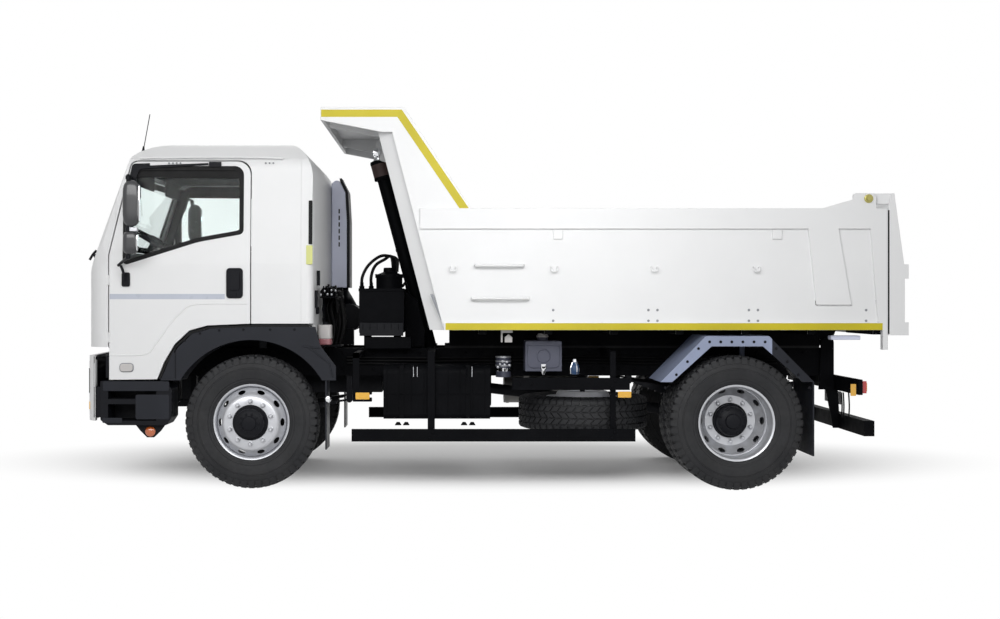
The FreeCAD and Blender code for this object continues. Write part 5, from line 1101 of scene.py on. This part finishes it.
def hoist_details():
    """Clamp rings and bands on the barrel, and the pin's caps, along the hoist's own line."""
    joints = {joint["name"]: joint for joint in frame["joints"]}
    foot = Vector(joints["hoist_lean"]["pos_m"])
    line = Vector(joints["hoist_slide_1"]["axis"]).normalized()
    top = (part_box("hoist_barrel")[1].z - foot.z) / line.z
    made("hoist_collar_rings", "black_frame", "hoist_barrel",
         *[(lathe, [(d, 0.05), (d, 0.084), (d + 0.002, 0.086), (d + 0.02, 0.086), (d + 0.022, 0.084),
                    (d + 0.022, 0.05)], foot, line, 48, True) for d in (top - 0.19, top - 0.052)])
    made("hoist_collar_band", "brown_mark", "hoist_barrel",
         (band, foot, line, top - 0.165, top - 0.055, 0.05, 0.0845))
    made("hoist_bands", "black_frame", "hoist_barrel",
         *[(band, foot, line, d, d + 0.02, 0.055, 0.0665) for d in (0.35, 0.9)])
    made("hoist_pin_caps", "chrome", "hoist_stage_3",
         *[(turned, [(0.112, 0.034), (0.118, 0.034), (0.12, 0.03)], at(933, 0, 2752), Y * side, 32)
           for side in (-1, 1)])


def oil_tank_details():
    """Seams, foot band, bracket, filler dome, hoses and fittings of the hoist's oil tank."""
    low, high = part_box("hoist_oil_tank")
    middle = (low.y + high.y) / 2
    dome = Vector((high.x - 0.130, middle, 1.69))
    steps = [(block, Vector((low.x + 0.02, y, 1.30)), Vector((low.x + 0.35, y + 0.010, 1.306)))
             for y in (low.y - 0.004, high.y - 0.006)]
    steps += [(block, Vector((low.x + 0.03 + i * 0.058, low.y - 0.006, 1.24)),
               Vector((low.x + 0.034 + i * 0.058, low.y + 0.002, 1.29))) for i in range(6)]
    steps.append((block, Vector((low.x - 0.004, low.y - 0.006, 1.556)), Vector((high.x, high.y, 1.580))))
    made("oil_tank_seams", "black_frame", "chassis", *steps, bevel=0.003)
    made("oil_tank_foot_band", "black_plastic", "chassis",
         (block, Vector((low.x + 0.004, low.y - 0.003, 1.19)),
          Vector((high.x - 0.004, low.y + 0.004, 1.298))),
         bevel=0.002)
    made("oil_tank_bracket", "black_frame", "chassis",
         (prism, plan([(1180, 1090), (1345, 1090), (1345, 1230), (1285, 1480), (1180, 1560)]),
          "y", -0.30, -0.13),
         (block, at(860, -600, 1085), at(1240, -440, 1180)), bevel=0.004)
    rim = [dome + Vector((0.108 * math.cos(a), 0.108 * math.sin(a), 0.004))
           for a in (math.pi * i / 4 for i in range(8))]
    made("oil_tank_cap", "black_frame", "chassis",
         (turned, [(-0.02, 0.118), (0.004, 0.118), (0.010, 0.10), (0.026, 0.06), (0.030, 0.05), (0.06, 0.048),
                   (0.066, 0.042)], dome, Z, 48),
         *bolts(rim, Z),
         (pipe, [dome + Vector((x, 0, z)) for x, z in ((0.05, 0), (0.055, 0.08), (0.05, 0.15))], 0.018, 12),
         (turned, [(0, 0.028), (0.03, 0.028), (0.034, 0.022)], dome + Vector((0.05, 0, 0.05)), Z, 6))
    foot = Vector((low.x + 0.014, middle - 0.10, 1.575))
    end = dome + Vector((0.066, -0.02, 0.03))
    long_run = [foot + Vector(step) for step in (
        (0, 0, 0), (0.004, 0, 0.10), (0.055, 0.02, 0.20), (0.15, 0.05, 0.275), (0.235, 0.08, 0.275))]
    long_run += [end + Z * 0.10, end]
    foot = Vector((low.x + 0.085, middle + 0.03, 1.575))
    end = dome + Vector((0.035, 0.03, 0.03))
    short_run = [foot + Vector(step) for step in ((0, 0, 0), (0, 0, 0.11), (0.035, 0, 0.20), (0.11, 0, 0.25))]
    short_run += [end + Vector((-0.02, 0, 0.13)), end]
    down_run = [Vector((high.x + dx, middle + dy, z)) for dx, dy, z in (
        (-0.02, 0, 1.60), (0.01, 0.05, 1.62), (0.02, 0.16, 1.45), (0.02, 0.2, 1.2))]
    made("oil_hoses", "hose", "chassis", (pipe, long_run, 0.013, 12), (pipe, short_run, 0.013, 12),
         (pipe, down_run, 0.012, 10))
    made("oil_fittings", "black_frame", "chassis",
         *[(turned, [(0, 0.024), (0.03, 0.024), (0.03, 0.017), (0.06, 0.017)], Vector((x, y, 1.572)), Z, 6)
           for x, y in ((low.x + 0.014, middle - 0.10), (low.x + 0.085, middle + 0.03))])


def behind_the_cab():
    """Latch hoop, air cleaner, hoses and the washer bottle between the cab and the oil tank."""
    made("latch_hoop", "black_frame", "chassis",
         *[(block, at(548, y - 25, 1080), at(598, y + 25, 1500)) for y in (-400, 400)],
         (block, at(540, -480, 1480), at(606, 480, 1530)),
         *[(block, at(520, y - 30, 1528), at(600, y + 30, 1600)) for y in (-440, 440)], bevel=0.006)
    made("air_cleaner", "black_plastic", "chassis",
         (turned, [(0, 0.115), (0.006, 0.122), (0.05, 0.122), (0.056, 0.117), (0.30, 0.117), (0.306, 0.124),
                   (0.33, 0.124), (0.335, 0.09), (0.35, 0.05)], at(650, 470, 1330), Y, 48),
         (pipe, [at(650, 800, 1335), at(650, 835, 1400), at(600, 800, 1500), at(575, 730, 1550),
                 at(570, 710, 1590)], 0.06, 20),
         (block, at(600, 400, 1085), at(700, 470, 1230)), bevel=0.003)
    hoses = []
    for k in range(9):
        x, y = 520 + (k % 3) * 34, -300 - k * 38
        hoses.append((pipe, [at(x, y, 1100), at(x + 20, y + 12, 1260), at(x - 6, y - 16, 1420),
                             at(x + 40, y, 1555), at(x + 70, y + 30, 1480), at(x + 96, y + 20, 1290),
                             at(x + 60, y + 30, 1110)], 0.011 + 0.003 * (k % 2), 10))
    for y in range(-640, -850, -42):
        hoses.append((pipe, [at(512, y, 1545), at(560, y - 10, 1590), at(610, y, 1560),
                             at(640, y + 30, 1500), at(650, y + 60, 1380)], 0.009, 8))
    made("service_hoses", "hose", "chassis", *hoses)
    made("service_brackets", "black_frame", "chassis",
         (block, at(500, -900, 1110), at(690, -640, 1122)), (block, at(500, -650, 980), at(520, -430, 1122)),
         (block, at(515, -870, 1500), at(660, -560, 1512)), (block, at(515, -640, 1300), at(540, -600, 1505)),
         *[(block, at(520 + k * 19, -872, 1512), at(531 + k * 19, -780, 1560 + (k * 37) % 60))
           for k in range(7)], bevel=0.003)
    made("service_fittings", "silver_paint", "chassis",
         *[(turned, [(0, 0.008), (0.02, 0.008), (0.024, 0.005)],
            at(522 + (k * 29) % 120, -880 + (k % 3) * 22, 1520 + (k * 31) % 90), Vector((0.2, -1, 0.4)), 6)
           for k in range(8)])
    for name, look, z0, z1 in (("washer_bottle", "bottle", 1.170, 1.285),
                               ("washer_fluid", "red_fluid", 1.122, 1.172)):
        made(name, look, "chassis", (prism, rect(FRONT_X + 0.497, FRONT_X + 0.605, -0.84, -0.70, 0.03), "z",
                                     z0, z1),
             bevel=0.008)
    made("washer_cap", "black_plastic", "chassis",
         (turned, [(0, 0.024), (0.02, 0.024), (0.024, 0.02)], at(552, -770, 1284), Z, 24))


def boxes_and_tanks():
    """Straps, ribs and lids of the side boxes, fluid tank, air dryer and silencer."""
    steps = []
    for x in (1180, 1700):
        steps += [(block, at(x - 18, y0, z0), at(x + 18, y1, z1)) for y0, z0, y1, z1 in (
            (-1109, 558, -1105, 962), (-1109, 958, -1058, 972), (-1062, 968, -698, 972))]
        steps += [(prism, plan([(foot, 522), (foot + 24, 522), (foot + 38, 499), (foot - 14, 499)]), "y",
                   -1.10, -1.05) for foot in (x - 42, x + 22)]
    steps += [(block, at(x, -1108, 600), at(x + 8, -1103, 940)) for x in range(1060, 1829, 96)]
    made("battery_box_details", "black_frame", "chassis", *steps,
         (block, at(1040, -1109, 740), at(1870, -1104, 748)), bevel=0.003)
    made("battery_box_wires", "silver_paint", "chassis",
         *[(block, at(x, -1109, 880), at(x + 4, -1104, 960)) for x in (1270, 1300, 1690, 1730)])
    made("fuel_tank_straps", "steel_rod", "chassis",
         *[(ring, rect(0.652, 1.108, 0.515, 1.004, 0.09), 0.004, "x", at(x, 0, 0).x - 0.022,
            at(x, 0, 0).x + 0.022)
           for x in (1150, 1460, 1770)],
         (turned, [(0, 0.055), (0.03, 0.055), (0.036, 0.048)], at(1100, 860, 1000), Z, 32), bevel=0.001)
    dial = [(2309 + 55 * math.cos(a), 1035 + 55 * math.sin(a)) for a in (i * math.pi / 8 for i in range(16))]
    made("fluid_tank_face", "grey_tank", "chassis",
         (prism, plate(2180, 2438, 940, 1130, 40), "y", -0.890, -0.879),
         (prism, plate(2163, 2455, 1118, 1156, 14), "y", -0.892, -0.600),
         (ring, plan(dial), 0.006, "y", -0.894, -0.886), bevel=0.006)
    made("fluid_tank_cap", "bottle", "chassis",
         (lathe, [(0, 0), (0, 0.05), (0.012, 0.05), (0.016, 0.042), (0.03, 0.040), (0.034, 0)],
          at(2309, -740, 1183), Z, 32))
    made("fluid_tank_drain", "chrome", "chassis",
         (lathe, [(0, 0.012), (0, 0.034), (0.03, 0.036), (0.06, 0.02), (0.085, 0.008), (0.085, 0)],
          at(2309, -862, 970), -Z, 24))
    made("air_dryer_bowl", "chrome", "chassis",
         (turned, [(0, 0.040), (0.008, 0.058), (0.07, 0.064), (0.078, 0.064), (0.082, 0.058)],
          at(1998, -560, 849), Z, 40))
    made("air_dryer_rings", "silver_paint", "chassis",
         *[(band, at(1998, -560, z), Z, 0, 0.012, 0.05, 0.066, 40) for z in (940, 975, 1010)],
         *[(lathe, [(0, 0), (0, 0.010), (0.03, 0.010), (0.034, 0)],
            at(1950 + k * 19, -616, 935 + (k * 23) % 50),
            -Y, 10) for k in range(6)])
    foot = at(2548, -1000, 895)
    made("drip_bottle", "blue_fluid", "chassis",
         (turned, [(0, 0.03), (0.01, 0.034), (0.07, 0.034), (0.09, 0.018), (0.10, 0.016)], foot, Z, 28))
    wires = []
    for quarter in range(4):
        angle = math.pi / 2 * quarter + 0.4
        out = Vector((math.cos(angle), math.sin(angle), 0))
        run = [foot + out * r + Z * z for r, z in ((0.036, 0.004), (0.037, 0.05), (0.022, 0.092))]
        wires.append((pipe, run, 0.0035, 6))
    made("drip_bottle_cage", "chrome", "chassis",
         (turned, [(0.098, 0.02), (0.118, 0.018), (0.125, 0.008)], foot, Z, 24), *wires)
    made("pipe_bracket", "bottle", "bed", (block, at(1960, -1080, 1150), at(1972, -1000, 1245)),
         (block, at(1972, -1080, 1225), at(2052, -1000, 1245)),
         (prism, plan([(1990, 1150), (2050, 1150), (2050, 1190), (2020, 1215), (1990, 1190)]),
          "y", -1.07, -1.06),
         bevel=0.002)
    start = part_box("muffler")[0].x
    made("muffler_bands", "muffler_steel", "chassis",
         *[(band, Vector((start + dx, 0.72, 0.70)), X, 0, 0.025, 0.14, 0.155) for dx in (0.02, 0.36, 0.70)])


def guard_details():
    """Markers, brackets, bolts and end caps of the side guards, and the mudguards' bolts."""
    heads = []
    for k in range(14):
        t = k / 13
        z = 1203 if 0.27 < t < 0.73 else 846 + 357 * min(t, 1 - t) / 0.27
        heads.append(at(WHEELBASE - 560 + t * 1120, 1230, z - 45))
    on_both(
        sided(),
        ("side_markers", "amber", "chassis", 0.003,
         *[(prism, plate(*spans, 8), "y", 1.178, 1.192)
           for spans in ((822, 932, 708, 762), (2868, 2972, 722, 770))]),
        ("guard_fittings", "black_frame", "chassis", 0,
         (prism, plate(800, 850, 690, 1070, 6), "y", 1.150, 1.158),
         *[(prism, plate(800, 950, *z_span, 6), "y", 1.155, 1.178) for z_span in ((690, 722), (745, 772))],
         (block, at(800, 430, 1030), at(850, 1158, 1070)),
         *[(turned, [(0, 0.012), (0.006, 0.012), (0.008, 0.008)], at(x, 1180, z), Y, 12) for x, z in (
             (1400, 405), (1424, 450), (2825, 405), (2845, 450), (2825, 805), (2845, 850), (2100, 828),
             (2200, 828))],
         *[(block, at(x, 1144.5, z0), at(x + 5, 1181.5, z1)) for x, z0, z1 in (
             (793, 381, 473), (3000, 381, 473), (2045, 783, 873), (2955, 783, 873))]),
        ("mudguard_bolts", "black_plastic", "chassis", 0, *bolts(heads, Y, 0.009, 0.007)),
    )


def rear_details():
    """Lenses, reflectors, wires and plate of the rear bar, plates under the bed, and the gate's seal."""
    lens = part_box("tail_lamps")[1].x
    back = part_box("rear_bar")[1].x
    end = WHEELBASE
    on_both(
        sided(),
        ("tail_lens_amber", "amber", "chassis", 0.002,
         *[(prism, rect(y0 + 0.004, y1 - 0.004, 0.764, 0.836, 0.012), "x", lens - 0.002, lens + 0.006)
           for y0, y1 in ((1.03, 1.135), (0.92, 1.02))]),
        ("side_reflector", "amber", "chassis", 0.002,
         (prism, plate(end + 893, end + 936, 735, 828, 6), "y", 1.176, 1.184)),
        ("rear_bar_wires", "hose", "chassis", 0,
         *[(pipe, [at(end + x, 900, 745), at(end + x + 4, 905, 640), at(end + x + 2, 900, 545)], 0.006, 8)
           for x in (900, 915, 958)]),
        # the plate is white; its lilac colour is painted shade
        ("under_plate", "lilac", "bed", 0.006, (block, at(4540, 1050, 1172), at(4770, 1150, 1205))),
    )
    made("rear_plate", "white_paint", "chassis",
         (prism, rect(-0.26, 0.26, 0.60, 0.71, 0.01), "x", back - 0.004, back),
         bevel=0.001)
    made("gate_seal", "rubber", "tailgate",
         *[(block, at(end + 1166, side * 1243, 1220), at(end + 1176, side * 1247, 2180)) for side in (-1, 1)])


def axle_details():
    """Spring bolts, brake chambers and brake hoses."""
    clamps, chambers, hoses = [], [], []
    for side in (-1, 1):
        clamps += [(pipe, [at(x + dx, side * SPRING_Y + dy, 560), at(x + dx, side * SPRING_Y + dy, 740)],
                    0.010, 8, 1)
                   for x in (0, WHEELBASE) for dx in (-75, 75) for dy in (-36, 36)]
        chambers += [(turned, [(0, 0.06), (0.01, 0.075), (0.07, 0.08), (0.075, 0.085), (0.09, 0.085),
                               (0.095, 0.08), (0.15, 0.07), (0.16, 0.05)], at(x, side * y, 560),
                      Vector((1, 0, 0.15)), 32)
                     for x, y in ((170, 320), (WHEELBASE + 210, 560))]
        hoses += [(pipe, [at(x, side * 560, 590), at(x + 60, side * 540, 700), at(x + 20, side * 470, 820),
                          at(x - 20, side * 435, 900)], 0.010, 8) for x in (330, WHEELBASE + 380)]
    made("u_bolts", "dark_cast", "chassis", *clamps)
    made("brake_chambers", "black_frame", "chassis", *chambers)
    made("brake_hoses", "hose", "chassis", *hoses)


frame_details()
spare_wheel()
hoist_details()
oil_tank_details()
behind_the_cab()
boxes_and_tanks()
guard_details()
rear_details()
axle_details()


# ---- floor, light and camera ----

def seen_rays(tree):
    """1 for what the camera sees, straight, mirrored or through glass."""
    path = tree.nodes.new("ShaderNodeLightPath")
    value = path.outputs["Is Camera Ray"]
    for name in ("Is Glossy Ray", "Is Transmission Ray"):
        value = add_node(tree, "Math", {0: value, 1: path.outputs[name]}, operation="MAXIMUM")
    return value


def studio_floor():
    """White floor that keeps the shadow and fades into a white surround, for looks only."""
    bm = bmesh.new()
    lathe(bm, [(0, 0), (0, 60)], Vector(), Z, 64)
    floor = linked("floor", mesh_of(bm, "floor"))
    mat = shader("studio_floor", (0.5, 0.5, 0.5), 0.9, mottle=0.01, spec=0.1)
    floor.data.materials.append(mat)
    tree = mat.node_tree
    real = tree.nodes["Principled BSDF"].outputs[0]
    both = add_node(tree, "AddShader", {0: add_node(tree, "BsdfDiffuse", {"Color": (0.93, 0.93, 0.93, 1)}),
                                        1: add_node(tree, "Emission", {"Strength": 0.1})})
    white = add_node(tree, "Emission", {"Strength": 1})
    coords = tree.nodes.new("ShaderNodeTexCoord").outputs["Object"]
    place = add_node(tree, "Mapping", {"Vector": coords, "Scale": (0.2, 0.40, 0), "Location": (0, -0.42, 0)})
    reach = add_node(tree, "VectorMath", {0: place}, operation="LENGTH").node.outputs["Value"]
    fade = add_node(tree, "MapRange", {"Value": reach, "From Min": 0.45, "From Max": 1.0},
                    interpolation_type="SMOOTHSTEP")
    near = add_node(tree, "MixShader", {0: fade, 1: both, 2: white})
    split = add_node(tree, "MixShader", {0: seen_rays(tree), 1: real, 2: near})
    fill(tree, tree.nodes["Material Output"], {0: split})


def surround():
    """World that lights the truck dimly and is seen as white."""
    world = bpy.context.scene.world or bpy.data.worlds.new("world")
    bpy.context.scene.world = world
    world.use_nodes = True
    tree = world.node_tree
    tree.nodes.clear()
    light, seen = (add_node(tree, "Background", {"Color": (1, 1, 1, 1), "Strength": strength})
                   for strength in (0.42, 1))
    add_node(tree, "OutputWorld", {0: add_node(tree, "MixShader", {0: seen_rays(tree), 1: light, 2: seen})})


def lamp(name, place, target, size, power):
    """Rectangular area lamp aimed at a point."""
    data = bpy.data.lights.new(name, "AREA")
    data.shape, data.size, data.size_y, data.energy = "RECTANGLE", size[0], size[1], power
    obj = linked(name, data)
    obj.location = place
    obj.rotation_euler = (Vector(target) - Vector(place)).to_track_quat("-Z", "Y").to_euler()


def camera():
    """Level long-lens view square to the left side, level with the cab's lamps."""
    data = bpy.data.cameras.new("camera")
    data.lens, data.sensor_width = 50.4, 36
    data.shift_x, data.shift_y = 0.05, -0.0065
    obj = linked("camera", data)
    obj.location = (FRONT_X + 1.559, -12.1, 1.46)
    obj.rotation_euler = (math.pi / 2, 0, 0)
    bpy.context.scene.camera = obj


studio_floor()
surround()
lamp("key", (-2.6, -11, 5.2), (-1.0, 0, 1.5), (10, 4), 550)
lamp("fill", (8, -7, 3.5), (0, 0, 1.4), (7, 5), 25)
lamp("gap", (FRONT_X + 2.6, -4.5, 2.6), (FRONT_X + 0.5, 0, 1.9), (1.5, 1.5), 40)
lamp("back", (0, 9, 7), (0, 0, 1.5), (10, 5), 170)
camera()
bpy.context.scene.view_settings.view_transform = "Standard"
